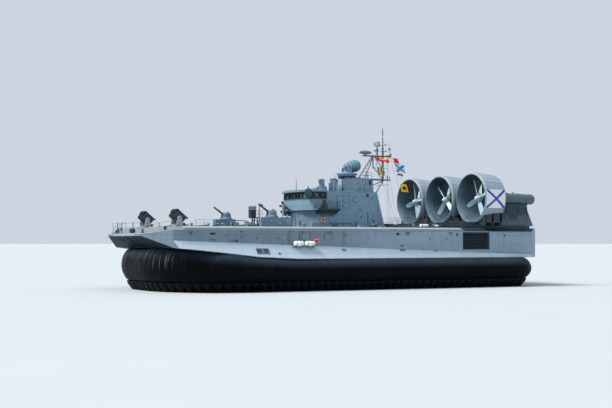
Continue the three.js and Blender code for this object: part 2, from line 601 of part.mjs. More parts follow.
// Radar reflectors as distances from their posts
const lensOutline = [
  [-0.98, 0], [-0.8, -0.11], [-0.4, -0.17], [0.4, -0.17], [0.8, -0.11],
  [0.98, 0], [0.8, 0.11], [0.4, 0.17], [-0.4, 0.17], [-0.8, 0.11],
].map(([x, z]) => [NAVIGATION.x + x, NAVIGATION.z + z]);
put('navigation_radar', join(
  prismY(lensOutline, -0.12, 0.12),
  bar([NAVIGATION.x, 0, NAVIGATION.seat + GAP], [NAVIGATION.x, 0, 18.2], 0.09, 0.09, 12),
), DARK_GREY);
const dishPlan = [
  [0.12, -0.76], [-0.1, -0.4], [-0.16, 0], [-0.1, 0.4], [0.12, 0.76],
  [0.02, 0.76], [-0.2, 0.4], [-0.26, 0], [-0.2, -0.4], [0.02, -0.76],
].map(([x, y]) => [SEARCH.x + x, y]);
put('search_radar', join(
  bar([SEARCH.x, 0, SEARCH.seat + GAP], [SEARCH.x, 0, SEARCH.low + 0.2], 0.09, 0.09, 12),
  box(SEARCH.x - 0.22, SEARCH.x, -0.06, 0.06, SEARCH.low + 0.05, SEARCH.low + 0.17),
  prismZ(dishPlan, SEARCH.low, SEARCH.high),
), DARK_GREY);

// Guns: a low house, a turret that trains, and a barrel that elevates in its slot
const GUN = { x: 11.83, y: 7.05, houseTop: 9.06, pivotX: 0.28, pivotZ: 9.66, rise: 35 };
const portHouse = [[9.5, 5.8], [12.6, 5.8], [13.95, 8.0], [13.8, 8.3], [9.5, 8.3]];
put('gun_house_port', prismZ(portHouse, DECK_SEAT, GUN.houseTop), HOUSE_GREY);
const starboardHouse = [[11.0, -8.3], [12.9, -8.3], [14.1, -6.2], [13.9, -5.8], [10.95, -5.8]];
put('gun_house_starboard', prismZ(starboardHouse, DECK_SEAT, GUN.houseTop), HOUSE_GREY);
for (const [name, side] of [['port', 1], ['starboard', -1]]) {
  const y = GUN.y * side;
  const seat = GUN.houseTop + GAP;
  const low = GUN.houseTop + 2 * CLEAR;
  const slot = box(GUN.x - 0.04, GUN.x + 2, y - 0.26, y + 0.26, low + 0.14, 12);
  const turret = [
    [0, seat], [0.5, seat], [0.5, low], [0.85, low], [0.8, 9.2], [0.66, 9.42], [0.64, 9.8], [0.5, 9.98],
    [0, 10.02],
  ];
  put(`turret_${name}`, spunZ(turret, GUN.x, y, 18).subtract(slot), HOUSE_GREY);
  const pivot = [GUN.x + GUN.pivotX, y, GUN.pivotZ];
  const barrel = join(
    bar([0, -0.22, 0], [0, 0.22, 0], 0.24, 0.24, 12),
    bar([0, -0.26 + GAP, 0], [0, 0.26 - GAP, 0], 0.09, 0.09, 10),
    bar([0, 0, 0], [0.95, 0, 0], 0.13, 0.13, 10),
    bar([0.9, 0, 0], [1.75, 0, 0], 0.1, 0.09, 10),
  ).rotate([0, -GUN.rise, 0]).translate(pivot);
  put(`gun_${name}`, barrel, DARK_GREY);
}

// Optical sight on its stand between the guns
const SIGHT_LEGS = [[10.3, -0.4], [10.3, 0.4], [11.05, -0.4], [11.05, 0.4]];
put('sight_stand', standingAt(DECK_SEAT, join(
  ...SIGHT_LEGS.map(([x, y]) => bar([x, y, DECK_Z - 0.1], [x, y * 0.8, 9.2], 0.07, 0.07, 6)),
  box(9.96, 11.34, -0.7, 0.7, 9.12, 9.23),
  box(10.85, 11.52, -0.45, 0.45, 9.18, 10.66),
)), DARK_GREY);

// Rocket launchers: deck ring, yoke that trains, and a tube pack that elevates
const LAUNCHER = { x: 23.9, y: 5.64, r: 0.6, ring: 8.0, floor: 8.1, pivotZ: 9.0, half: 0.9, rise: 40 };
for (const [name, side] of [['port', 1], ['starboard', -1]]) {
  const y = LAUNCHER.y * side;
  put(`launcher_ring_${name}`, spunZ([[0, DECK_SEAT], [LAUNCHER.r, DECK_SEAT], [LAUNCHER.r, LAUNCHER.ring - CLEAR],
    [0, LAUNCHER.ring - CLEAR]], LAUNCHER.x, y, 20), DARK_GREY);
  const cheek = [[-0.42, LAUNCHER.ring], [0.42, LAUNCHER.ring], [0.2, LAUNCHER.pivotZ + 0.15],
    [-0.2, LAUNCHER.pivotZ + 0.15]].map(([x, z]) => [LAUNCHER.x + x, z]);
  const cheekIn = LAUNCHER.half + 0.05;
  const cheekOut = cheekIn + 0.12;
  const pinFoot = LAUNCHER.ring - CLEAR + GAP;
  const turntable = [
    [0, pinFoot], [0.3, pinFoot], [0.3, LAUNCHER.ring], [LAUNCHER.r, LAUNCHER.ring],
    [LAUNCHER.r, LAUNCHER.floor], [0, LAUNCHER.floor],
  ];
  put(`launcher_yoke_${name}`, join(
    spunZ(turntable, LAUNCHER.x, y, 20),
    box(LAUNCHER.x - 0.38, LAUNCHER.x + 0.38, y - cheekOut + 0.01, y + cheekOut - 0.01,
      LAUNCHER.ring + 0.01, LAUNCHER.floor - 0.01),
    prismY(cheek, y - cheekOut, y - cheekIn),
    prismY(cheek, y + cheekIn, y + cheekOut),
  ), DARK_GREY);
  const pack = join(
    box(-0.8, 1.2, -LAUNCHER.half, LAUNCHER.half, -0.34, 0.57),
    bar([0, GAP - cheekIn, 0], [0, cheekIn - GAP, 0], 0.12, 0.12, 12),
  ).rotate([0, -LAUNCHER.rise, 0]).translate([LAUNCHER.x, y, LAUNCHER.pivotZ]);
  put(`launcher_pack_${name}`, pack, DARK_GREY);
}

// Low casings aft of the house and under the fans
const casingSection = [[-3.6, DECK_SEAT], [3.6, DECK_SEAT], [3.4, 8.4], [-3.4, 8.4]];
put('aft_casing', prismX(casingSection, -12.5, -7.6), HOUSE_GREY);
const PLATFORM_Z = 8.25;
const platformPlan = [[-17.4, -9.2], [-17.4, 9.2], [-26.4, 9.2], [-28.0, 8.0], [-28.0, -8.0], [-26.4, -9.2]];
put('fan_platform', prismZ(platformPlan, DECK_SEAT, PLATFORM_Z), DARK_GREY);

// Fans: duct with rudder bars, pylon, engine pod with struts, propeller and two rudders each
const DUCT_LONG = DUCT_FRONT_X - DUCT_BACK_X;
const ductProfile = [
  // radius, distance aft of the lip
  [DUCT_LIP_R - 0.12, 0], [DUCT_LIP_R, 0.14], [DUCT_LIP_R, 0.4], [3.42, 1.2], [DUCT_TAIL_R, DUCT_LONG],
  [3.06, DUCT_LONG], [DUCT_THROAT_R, 2.0], [DUCT_THROAT_R, 0.9], [3.02, 0.4], [3.24, 0.06],
];
const RUDDER = { x: -21.36, off: 1.45, half: 2.2, fore: 0.24, aft: 0.66, barZ: 2.3, pinZ: 2.23 - GAP };
const POD_PROFILE = [
  // radius, x
  [0, -19.95], [0.5, -19.95], [0.62, -20.3], [POD_R, -21.5], [POD_R, -26.4], [0.7, -27.3], [0.72, -28.4],
  [0.62, HALF_LENGTH * -1], [0.5, HALF_LENGTH * -1], [0.45, -28.1], [0, -28.1],
];
const POD_SIDES = 24;
const STRUT_TIP = DUCT_THROAT_R - 0.0062;
const SHAFT_END = POD_PROFILE[0][1] - PROP_X + GAP;
const BLADES = 4;
const BLADE_OUTLINE = [
  // along the span, along the chord
  [0.28, -0.2], [0.9, -0.3], [1.6, -0.34], [2.3, -0.3], [PROP_R, -0.16],
  [PROP_R, 0.16], [2.3, 0.28], [1.6, 0.3], [0.9, 0.26], [0.28, 0.2],
];
const BLADE_THICK = 0.07;

function blade() {
  const geometry = slab(outline(BLADE_OUTLINE), BLADE_THICK);
  const places = geometry.attributes.position;
  for (let i = 0; i < places.count; i += 1) {
    const span = places.getX(i);
    const chord = places.getY(i);
    const thick = places.getZ(i) - BLADE_THICK / 2;
    const pitch = degrees(58 - 34 * span / PROP_R);
    places.setXYZ(i, chord * Math.sin(pitch) - thick * Math.cos(pitch),
      chord * Math.cos(pitch) + thick * Math.sin(pitch), span);
  }
  return solid(geometry);
}

const HUB_PROFILE = [
  // radius, distance forward of the blades
  [0, SHAFT_END], [0.2, SHAFT_END], [0.2, -0.42], [0.43, -0.4],
  [0.42, 0.1], [0.3, 0.42], [0.12, 0.6], [0, 0.62],
];
function propeller(start) {
  const hub = spunX(HUB_PROFILE, 0, 0, 20);
  const blades = [];
  for (let i = 0; i < BLADES; i += 1) {
    blades.push(blade().rotate([start + i * 360 / BLADES, 0, 0]));
  }
  return join(hub, ...blades);
}

function pylon(y) {
  const seat = PLATFORM_Z + GAP;
  const profile = [
    [-18.9, seat], [-18.9, 8.9], [-20, 9.6], [-21.75, 11.2], [-26.6, 11.3], [-27.0, 10.9], [-28.1, seat],
  ];
  const section = [[y - 0.9, seat], [y + 0.9, seat], [y + 0.74, 11.6], [y - 0.74, 11.6]];
  const ductSpace = spunX([
    [0, DUCT_BACK_X - SLACK], [DUCT_TAIL_R + GAP, DUCT_BACK_X - SLACK], [3.42 + GAP, DUCT_FRONT_X - 1.2],
    [DUCT_LIP_R + GAP, DUCT_FRONT_X - 0.4], [DUCT_LIP_R + GAP, DUCT_FRONT_X + 1], [0, DUCT_FRONT_X + 1],
  ], y, DUCT_Z);
  const podSpace = spunX([[0, -30], [POD_R + GAP, -30], [POD_R + GAP, -20], [0, -20]], y, DUCT_Z, POD_SIDES);
  return prismY(profile, y - 1.3, y + 1.3)
    .intersect(prismX(section, -30, -18))
    .subtract(ductSpace)
    .subtract(podSpace);
}

// Name, distance to port, and the angle the blades stopped at
for (const [name, y, start] of [['port', DUCT_Y, 22], ['centre', 0, 46], ['starboard', -DUCT_Y, 13]]) {
  const ring = ductProfile.map(([r, back]) => [r, DUCT_FRONT_X - back]);
  const duct = spunX([...ring, ring[0]], y, DUCT_Z);
  const bars = [-1, 1].map((end) => box(-21.5, -21.2, y - 1.95, y + 1.95, DUCT_Z + end * RUDDER.barZ - 0.07,
    DUCT_Z + end * RUDDER.barZ + 0.07));
  put(`duct_${name}`, join(duct, ...bars), DUCT_GREY);
  put(`pylon_${name}`, pylon(y), SIDE_GREY);
  const strut = box(-20.8, -20.4, 0.4, STRUT_TIP, -0.06, 0.06);
  const struts = [0, 90, 180].map((turn) => strut.rotate([turn, 0, 0]).translate([0, y, DUCT_Z]));
  put(`engine_pod_${name}`, join(spunX(POD_PROFILE, y, DUCT_Z, POD_SIDES), ...struts), HOUSE_GREY);
  put(`propeller_${name}`, propeller(start).translate([PROP_X, y, DUCT_Z]), BLADE_GREY);
  for (const [hand, off] of [['left', RUDDER.off], ['right', -RUDDER.off]]) {
    const leaf = [
      [RUDDER.fore, -0.05], [RUDDER.fore + 0.06, 0], [RUDDER.fore, 0.05],
      [-RUDDER.aft, 0.015], [-RUDDER.aft, -0.015],
    ].map(([x, w]) => [RUDDER.x + x, y + off + w]);
    const rudder = prismZ(leaf, DUCT_Z - RUDDER.half, DUCT_Z + RUDDER.half);
    const pinEnds = [-1, 1].map((end) => [RUDDER.x, y + off, DUCT_Z + end * RUDDER.pinZ]);
    const pin = bar(pinEnds[0], pinEnds[1], 0.06, 0.06, 10);
    put(`rudder_${name}_${hand}`, rudder.add(pin), DUCT_GREY);
  }
}

// Life raft canisters on cradles against the sponsons
const RAFT = { y: 10.98, z: 5.8, r: 0.34 };
for (const [name, side] of [['port', 1], ['starboard', -1]]) {
  const canisters = [[7.85, 9.15], [9.4, 10.7]].map(([aft, fore]) =>
    bar([aft, RAFT.y, RAFT.z], [fore, RAFT.y, RAFT.z], RAFT.r, RAFT.r, 12));
  const cradle = box(7.7, 10.85, DECK_EDGE_Y + GAP, RAFT.y, 5.3, RAFT.z - 0.12).subtract(sponsonWedge(GAP));
  const group = join(...canisters, cradle);
  put(`rafts_${name}`, side > 0 ? group : mirrored(group), RAFT_WHITE);
}

export default craft;
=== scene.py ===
import math
import random

import bmesh
import bpy
from mathutils import Matrix, Vector


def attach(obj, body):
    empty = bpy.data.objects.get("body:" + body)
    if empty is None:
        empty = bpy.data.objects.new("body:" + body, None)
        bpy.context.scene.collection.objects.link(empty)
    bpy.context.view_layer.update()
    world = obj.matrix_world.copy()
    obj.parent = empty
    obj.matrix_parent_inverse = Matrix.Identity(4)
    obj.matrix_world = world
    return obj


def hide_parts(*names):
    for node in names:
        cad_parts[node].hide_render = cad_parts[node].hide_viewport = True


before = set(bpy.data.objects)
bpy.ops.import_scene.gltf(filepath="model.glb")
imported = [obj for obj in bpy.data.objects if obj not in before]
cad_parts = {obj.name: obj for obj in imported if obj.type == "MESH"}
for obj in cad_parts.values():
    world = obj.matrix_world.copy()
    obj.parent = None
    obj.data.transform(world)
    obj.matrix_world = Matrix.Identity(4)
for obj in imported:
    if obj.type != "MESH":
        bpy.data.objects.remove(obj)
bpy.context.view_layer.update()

# Places and sizes below are in metres of the full-size craft. The model is half of that.
SCALE = 0.5
FORE, AFT, PORT, UP = (1, 0, 0), (-1, 0, 0), (0, 1, 0), (0, 0, 1)
SIDES = (("port", 1), ("starboard", -1))
DECK = 7.9
FAN_Y, FAN_Z = 7.75, 12.0

# ---------------------------------------------------------------- camera, floor and lights
VIEW_PLACE = (73.746, 134.058, 6.007)
VIEW_TILT = math.radians(90 + 1.924)
VIEW_TURN = math.pi - 0.48409
camera = bpy.data.cameras.new("camera")
camera.lens = 66.55
camera.sensor_width = 36
camera.clip_end = 2000
eye = bpy.data.objects.new("camera", camera)
eye.location = Vector(VIEW_PLACE) * SCALE
eye.rotation_euler = (VIEW_TILT, 0, VIEW_TURN)
bpy.context.scene.collection.objects.link(eye)
bpy.context.scene.camera = eye

SKY = (0.6, 0.66, 0.74, 1)
world = bpy.data.worlds.new("studio")
world.use_nodes = True
world.node_tree.nodes["Background"].inputs["Color"].default_value = SKY
world.node_tree.nodes["Background"].inputs["Strength"].default_value = 1.0
bpy.context.scene.world = world
bpy.context.scene.view_settings.view_transform = "Standard"


def lamp(name, toward, strength, spread, color):
    """A soft lamp so far off that all its light comes from one direction."""
    light = bpy.data.lights.new(name, "SUN")
    light.energy = strength
    light.angle = math.radians(spread)
    light.color = color
    holder = bpy.data.objects.new(name, light)
    holder.rotation_euler = Vector(toward).to_track_quat("Z", "Y").to_euler()
    bpy.context.scene.collection.objects.link(holder)


lamp("key", (0.68, -0.16, 0.86), 3.9, 22, (1.0, 0.96, 0.9))


# ---------------------------------------------------------------- shader building
def math_node(operation, swapped=False):
    """A Math node as a method of Value."""

    def method(self, other=0.0):
        a, b = (other, self) if swapped else (self, other)
        return self.finish.node("ShaderNodeMath", {"operation": operation}, {0: a, 1: b})

    return method


class Value:
    """A shader socket that adds Math nodes when it is used in an expression."""

    def __init__(self, finish, socket):
        self.finish = finish
        self.socket = socket

    __add__ = __radd__ = math_node("ADD")
    __mul__ = __rmul__ = math_node("MULTIPLY")
    __sub__, __rsub__ = math_node("SUBTRACT"), math_node("SUBTRACT", swapped=True)
    __truediv__ = math_node("DIVIDE")
    __gt__, __lt__ = math_node("GREATER_THAN"), math_node("LESS_THAN")
    __abs__, sine, fract = math_node("ABSOLUTE"), math_node("SINE"), math_node("FRACT")

    def saw(self, length):
        """0 to 1 over each length."""
        return (self / length).fract()

    def band(self, low, high):
        """1 between low and high, 0 elsewhere."""
        return (self > low) * (self < high)

    def ease(self, low, high):
        """Goes smoothly from 0 to 1 as the value goes from low to high."""
        return self.finish.node(
            "ShaderNodeMapRange",
            {"interpolation_type": "SMOOTHSTEP"},
            {0: self, 1: low, 2: high},
        )


class Finish:
    """One material: a Principled shader and the nodes that feed it."""

    def __init__(self, name, roughness=0.6, metallic=0.0):
        self.material = bpy.data.materials.new(name)
        self.material.use_nodes = True
        self.tree = self.material.node_tree
        self.shader = self.tree.nodes["Principled BSDF"]
        self.shader.inputs["Roughness"].default_value = roughness
        self.shader.inputs["Metallic"].default_value = metallic
        self.coords = self.tree.nodes.new("ShaderNodeTexCoord")

    def node(self, kind, settings=None, inputs=None, output=0):
        made = self.tree.nodes.new(kind)
        for key, value in (settings or {}).items():
            setattr(made, key, value)
        for key, value in (inputs or {}).items():
            if isinstance(value, Value):
                self.tree.links.new(value.socket, made.inputs[key])
            else:
                made.inputs[key].default_value = value
        return Value(self, made.outputs[output])

    def feed(self, name, value):
        if isinstance(value, Value):
            self.tree.links.new(value.socket, self.shader.inputs[name])
        else:
            self.shader.inputs[name].default_value = value

    def spot(self, output="Object"):
        """Coordinates on the piece, in metres of the full-size craft."""
        raw = Value(self, self.coords.outputs[output])
        if output != "Object":
            return raw
        return self.node("ShaderNodeVectorMath", {"operation": "SCALE"}, {0: raw, 3: 1 / SCALE})

    def parts(self, vector):
        return [self.node("ShaderNodeSeparateXYZ", {}, {0: vector}, k) for k in range(3)]

    def whole(self, x, y, z):
        return self.node("ShaderNodeCombineXYZ", {}, {0: x, 1: y, 2: z})

    def noise(self, vector, scale, detail=3.0, rough=0.55):
        return self.node(
            "ShaderNodeTexNoise", {},
            {"Vector": vector, "Scale": scale, "Detail": detail, "Roughness": rough},
        )

    def mix(self, share, a, b):
        return self.node(
            "ShaderNodeMix", {"data_type": "RGBA"}, {0: share, 6: a, 7: b}, 2
        )

    def shade(self, color, amount):
        """The color made darker or lighter by a factor."""
        start = color if isinstance(color, Value) else color[:3]
        return self.node("ShaderNodeVectorMath", {"operation": "SCALE"}, {0: start, 3: amount})

    def bump(self, height, distance):
        self.feed(
            "Normal", self.node("ShaderNodeBump", {}, {"Distance": distance * SCALE, "Height": height}),
        )


def rgb(r, g, b):
    return (r, g, b, 1.0)


# ---------------------------------------------------------------- paints
SIDE_BLUE = rgb(0.262, 0.352, 0.43)
HOUSE_BLUE = rgb(0.19, 0.305, 0.4)
DECK_DARK = rgb(0.2, 0.235, 0.26)
SHADOW_DARK = rgb(0.008, 0.017, 0.023)
MACHINE_DARK = rgb(0.022, 0.034, 0.043)


def ship_paint(name, side, deck=None, under=None, plate=(2.4, 1.15), hull=False, wear=1.0, tone_and_shading=None):
    """Brushed ship's paint over welded plates, with streaks, salt and faded panels, painted shade on faces
    that look down, and painted light and shade on the hull.
    """
    f = Finish(name)
    spot = f.spot()
    x, y, z = f.parts(spot)
    nx, ny, nz = f.parts(f.spot("Normal"))
    lying = abs(nz).ease(0.86, 0.95)
    facing = abs(nx).ease(0.72, 0.8)
    along = x + (y - x) * facing
    up = z + (y - z) * lying
    layout = {
        "Vector": f.whole(along, up, 0.0), "Scale": 1.0, "Brick Width": plate[0], "Row Height": plate[1],
    }
    tones = {"Color1": rgb(0, 0, 0), "Color2": rgb(1, 1, 1), "Mortar": rgb(0.5, 0.5, 0.5)}
    joints = {"Mortar Size": 0.012, "Mortar Smooth": 0.6}
    tone = f.parts(f.node("ShaderNodeTexBrick", {"offset": 0.5}, {**layout, **tones, **joints}))[0]
    joints = {"Mortar Size": 0.02, "Mortar Smooth": 0.8}
    seam = f.node("ShaderNodeTexBrick", {"offset": 0.5}, {**layout, **joints}, 1)
    streaks = f.noise(f.whole(along * 2.6, z * 0.22, y * 0.3), 1.0, 4.0)
    clouds = f.noise(spot, 0.35, 4.0)
    grain = f.noise(spot, 9.0, 3.0)
    run = streaks.ease(0.52, 0.72) * (1 - lying)
    amount = (
        0.86 + tone * 0.1 * wear + clouds * 0.14 + grain * 0.05 - run * 0.13 * wear - seam * 0.13
    )
    if hull:
        # Painted light and shade on the hull: upright faces darker toward the bow, the up-sloping sponson
        # lighter, faces toward the bow darker.
        upright = 1 - nz.ease(0.3, 0.5)
        amount = amount * (1 - x.ease(-4.0, 7.0) * upright * 0.28) * (1 + nz.band(0.3, 0.86) * 0.5)
        amount = amount * (1 - nx.ease(0.3, 0.6) * upright * 0.15)
    # The tone function paints light and shade into the paint, and on the bridge a dark band round the
    # windows.
    if tone_and_shading:
        f.x, f.y, f.z, f.nx, f.nz = x, y, z, nx, nz  # for the tone function, which paints light and shade
        amount = tone_and_shading(amount, f)
    color = f.shade(side, amount)
    if hull:
        # Painted light: the up-sloping sponson mixed toward pale grey.
        color = f.mix(nz.band(0.3, 0.86) * 0.3, color, rgb(0.6, 0.62, 0.64))
    if deck:
        tread = f.noise(spot, 26.0, 2.0)
        worn = f.noise(spot, 0.8, 5.0).ease(0.5, 0.7)
        laid = f.shade(deck, 0.8 + tread * 0.3 + clouds * 0.2 + worn * 0.18 - seam * 0.1)
        color = f.mix(nz.ease(0.86, 0.95), color, laid)
    salt = f.noise(f.whole(along * 1.2, z * 1.2, y), 2.2, 5.0).ease(0.56, 0.75) * z.ease(7.0, 4.2)
    color = f.mix(salt * 0.2 * wear, color, rgb(0.4, 0.43, 0.45))
    if under:
        # Painted shade: faces that look down take the dark under color.
        color = f.mix((-1.0 * nz).ease(0.3, 0.5), color, f.shade(under, 0.7 + clouds * 0.5))
    if hull:
        # Painted light: a pale strip along the deck's sloping edge, darker on its outer part.
        edge = nz.ease(0.8, 0.9) * abs(y).ease(9.25, 9.32) * x.ease(24.7, 24.6)
        strip = f.mix(
            abs(y).ease(9.75, 9.9), f.shade(rgb(0.38, 0.41, 0.435), 0.85 + clouds * 0.25),
            f.shade(rgb(0.1, 0.14, 0.175), 0.85 + clouds * 0.3),
        )
        color = f.mix(edge, color, strip)
        # Painted shadow: the deck under the ducts near black.
        color = f.mix(nz.ease(0.8, 0.9) * x.ease(-15.0, -15.4) * 0.95, color, rgb(0.014, 0.03, 0.042))
        # Painted shade: faces that look down at the bow near black.
        color = f.mix(
            x.ease(20.0, 22.0) * (-1.0 * nz).ease(0.03, 0.12), color,
            f.shade(rgb(0.012, 0.03, 0.036), 0.7 + clouds * 0.5),
        )
        # Painted shade in the recess in the side below the fans.
        inside = x.band(-19.18, -14.82) * abs(y).band(9.0, 10.49) * z.band(5.01, 7.29)
        color = f.mix(inside * 0.8, color, SHADOW_DARK)
    f.feed("Base Color", color)
    f.feed("Specular IOR Level", 0.08 if hull else 0.2)
    f.feed("Roughness", 0.5 + clouds * 0.2 + salt * 0.2)
    f.bump(grain * 0.15 - seam * 0.8 + clouds * 0.6, 0.03)
    return f.material


def machine_paint(name, color, edge, wear=0.5):
    """Dark paint on machinery, rubbed pale in patches, with oily runs."""
    f = Finish(name, metallic=0.15)
    spot = f.spot()
    x, y, z = f.parts(spot)
    rub = f.noise(spot, 3.0, 6.0, 0.7).ease(0.56, 0.68)
    clouds = f.noise(spot, 1.3, 3.0)
    grain = f.noise(spot, 22.0, 2.0)
    runs = f.noise(f.whole(x * 5.0, y * 5.0, z * 0.5), 1.0, 3.0).ease(0.5, 0.7)
    worn = f.mix(rub * wear, f.shade(color, 0.75 + clouds * 0.5), edge)
    f.feed("Base Color", f.shade(worn, 1.06 - runs * 0.25))
    f.feed("Roughness", 0.4 + clouds * 0.25 + grain * 0.08)
    f.bump(grain * 0.3 + clouds, 0.012)
    return f.material


def duct_paint():
    """Fan duct: pale outside with faint hoops; inside dark with soot and painted shade, with painted light
    toward the lower lip and one side.
    """
    f = Finish("duct_paint")
    spot = f.spot()
    x, y, z = f.parts(spot)
    nx, ny, nz = f.parts(f.spot("Normal"))
    lane = f.node("ShaderNodeMath", {"operation": "ROUND"}, {0: y / FAN_Y})
    side = y - lane * FAN_Y
    rise = z - FAN_Z
    inward = (side * ny + rise * nz) * -1.0
    inside = inward.ease(0.3, 1.2) * x.ease(-18.02, -18.25)
    angle = f.node("ShaderNodeMath", {"operation": "ARCTAN2"}, {0: side, 1: rise})
    panels = ((angle * 1.9099).saw(1.0) - 0.5)
    rib = abs(panels).ease(0.485, 0.498)
    hoop = ((x + 18.13) * -1.0).saw(0.86)
    band = abs(hoop - 0.5).ease(0.48, 0.495)
    clouds = f.noise(spot, 0.6, 4.0)
    streaks = f.noise(f.whole(x * 2.5, angle * 7.0, lane), 1.0, 4.0)
    grain = f.noise(spot, 11.0, 3.0)
    outer = f.shade(rgb(0.29, 0.37, 0.44), 0.85 + clouds * 0.22 - rib * 0.1 - band * 0.08 + grain * 0.05)
    # Painted light inside the duct, toward its lower part and one side; the rest of the inside is painted
    # shade with soot.
    lit = 0.75 + rise.ease(1.5, -2.6) * 1.9 + side.ease(-1.5, -2.9) * 1.5
    soot_and_shade = f.shade(rgb(0.024, 0.043, 0.057), (0.6 + clouds * 0.5 + streaks * 0.3 - rib * 0.12) * lit)
    mixed = f.mix(inside, outer, soot_and_shade)
    oily = streaks.ease(0.55, 0.75) * (z < 11.2)
    f.feed("Base Color", f.mix(oily * 0.2, mixed, rgb(0.1, 0.12, 0.13)))
    f.feed("Roughness", 0.4 + clouds * 0.2)
    f.bump(grain * 0.2 - rib * 0.8 - band * 0.8 + clouds * 0.5, 0.02)
    return f.material


def pod_paint():
    """Engine pod: grey shell with lap joints, its tail ring browned by heat."""
    f = Finish("pod_paint")
    spot = f.spot()
    x, y, z = f.parts(spot)
    laps = abs((x * -1.0).saw(1.42) - 0.5).ease(0.475, 0.495)
    clouds = f.noise(spot, 0.9, 4.0)
    grain = f.noise(spot, 12.0, 3.0)
    hot = x.ease(-28.1, -28.45)
    soot_and_shade = x.ease(-26.2, -28.2) * f.noise(f.whole(x * 0.8, y * 3.0, z * 3.0), 1.0, 4.0).ease(0.35, 0.65)
    shell = f.shade(rgb(0.07, 0.122, 0.155), 0.85 + clouds * 0.25 - laps * 0.2 + grain * 0.06)
    shell = f.mix(soot_and_shade * 0.45, shell, rgb(0.09, 0.09, 0.09))
    brown = f.shade(rgb(0.27, 0.16, 0.11), 0.7 + clouds * 0.6)
    f.feed("Base Color", f.mix(hot, shell, brown))
    f.feed("Metallic", hot * 0.5)
    f.feed("Roughness", 0.42 + clouds * 0.2)
    f.bump(grain * 0.2 - laps + clouds * 0.3, 0.015)
    return f.material


def blade_paint():
    """Pale blades with dark spray marks."""
    f = Finish("blade_paint", metallic=0.1)
    spot = f.spot()
    clouds = f.noise(spot, 2.0, 4.0)
    flecks = f.noise(spot, 14.0, 4.0).ease(0.58, 0.7)
    f.feed(
        "Base Color",
        f.mix(flecks * 0.35, f.shade(rgb(0.46, 0.66, 0.74), 0.88 + clouds * 0.2), rgb(0.2, 0.24, 0.27)),
    )
    f.feed("Roughness", 0.3 + clouds * 0.25)
    f.bump(flecks + clouds, 0.01)
    return f.material


def rubber(name, tone, panel, sheen=0.1):
    """Rubberised skirt fabric, sewn from panels that follow the skirt round, scuffed and salted, with
    painted light on faces that look up and painted highlights along the bow's creases.
    """
    f = Finish(name)
    s, v, unused = f.parts(f.spot("UV"))
    spot = f.spot()
    seam = abs(s.saw(panel) - 0.5).ease(0.478, 0.49)
    hem = abs(v.saw(1.7) - 0.5).ease(0.47, 0.488)
    weave = (s * 180.0).sine() * (v * 180.0).sine()
    clouds = f.noise(spot, 0.7, 5.0)
    scuff = f.noise(f.whole(s * 2.2, v * 0.7, 0.0), 1.3, 6.0, 0.65).ease(0.5, 0.72)
    strip = f.node("ShaderNodeMath", {"operation": "MAXIMUM"}, {0: seam, 1: hem})
    nz = f.parts(f.spot("Normal"))[2]
    # Painted light: faces that look up are much lighter and show their scuffs more.
    top = nz.ease(0.15, 0.75)
    dark = f.shade(tone, (0.55 + clouds * 0.6 + strip * 0.35) * (0.2 + top * 2.5))
    color = f.mix(scuff * (0.06 + top * 0.28), dark, rgb(0.05, 0.06, 0.07))
    x, y, z = f.parts(spot)
    # Painted highlights: pale stripes along the creases at the bow.
    crease_highlights = f.noise(f.whole(s * 5.0, v * 0.3, 0.0), 1.0, 3.0).ease(0.55, 0.66)
    crease_highlights = crease_highlights * x.ease(24.0, 26.0) * z.ease(2.4, 4.2)
    f.feed("Base Color", f.mix(crease_highlights * 0.45, color, rgb(0.26, 0.29, 0.32)))
    f.feed("Roughness", 0.42 + scuff * 0.25 + clouds * 0.1)
    f.feed("Specular IOR Level", sheen)
    f.bump(strip * 0.6 + clouds * 0.5 + weave * 0.05 + scuff * 0.1, 0.03)
    return f.material


def dark_glass():
    """Bridge glass: nearly black, with the faint greenish murk of the room behind it and painted
    reflections in streaks across the panes.
    """
    f = Finish("dark_glass", roughness=0.06)
    spot = f.spot()
    murk = f.noise(spot, 1.4, 3.0)
    smear = f.noise(spot, 7.0, 4.0).ease(0.55, 0.8)
    x, y, z = f.parts(spot)
    # Painted reflections: pale streaks across the window band.
    painted_reflection = f.noise(f.whole(y * 0.9 + x * 1.3, x * 0.4, z * 0.9), 1.0, 2.0).ease(0.5, 0.56)
    painted_reflection = painted_reflection * z.band(11.74, 12.36)
    room = f.mix(murk.ease(0.35, 0.7), rgb(0.008, 0.018, 0.02), rgb(0.03, 0.055, 0.05))
    f.feed("Base Color", f.mix(painted_reflection * (0.5 + x.ease(4.6, 4.3) * 0.3), room, rgb(0.3, 0.36, 0.3)))
    f.feed("Roughness", 0.05 + smear * 0.12)
    f.feed("Alpha", 0.9 - murk * 0.15)
    return f.material


def glass_fibre():
    """White canister shell with dust below and faint lay marks."""
    f = Finish("canister_white", roughness=0.35)
    spot = f.spot()
    x, y, z = f.parts(spot)
    clouds = f.noise(spot, 2.5, 4.0)
    grime = f.noise(f.whole(x * 4.0, y * 4.0, z), 1.2, 5.0).ease(0.5, 0.75) * z.ease(5.95, 5.5)
    f.feed(
        "Base Color",
        f.mix(grime * 0.5, f.shade(rgb(0.93, 0.94, 0.93), 0.95 + clouds * 0.08), rgb(0.3, 0.29, 0.27)),
    )
    f.bump(clouds + f.noise(spot, 30.0, 2.0) * 0.2, 0.01)
    return f.material


def plain_paint(name, color, roughness=0.5, fade=0.35, sheen=0.4):
    """A painted or moulded color with fading, fine grain and a little dirt."""
    f = Finish(name)
    spot = f.spot()
    clouds = f.noise(spot, 3.0, 5.0)
    grain = f.noise(spot, 30.0, 2.0)
    dirt = f.noise(spot, 6.0, 5.0, 0.65).ease(0.58, 0.75)
    f.feed("Base Color", f.mix(dirt * fade, f.shade(color, 0.82 + clouds * 0.36), rgb(0.12, 0.12, 0.12)))
    f.feed("Specular IOR Level", sheen)
    f.feed("Roughness", roughness + clouds * 0.15 - 0.07)
    f.bump(grain * 0.4 + clouds * 0.4, 0.01)
    return f.material


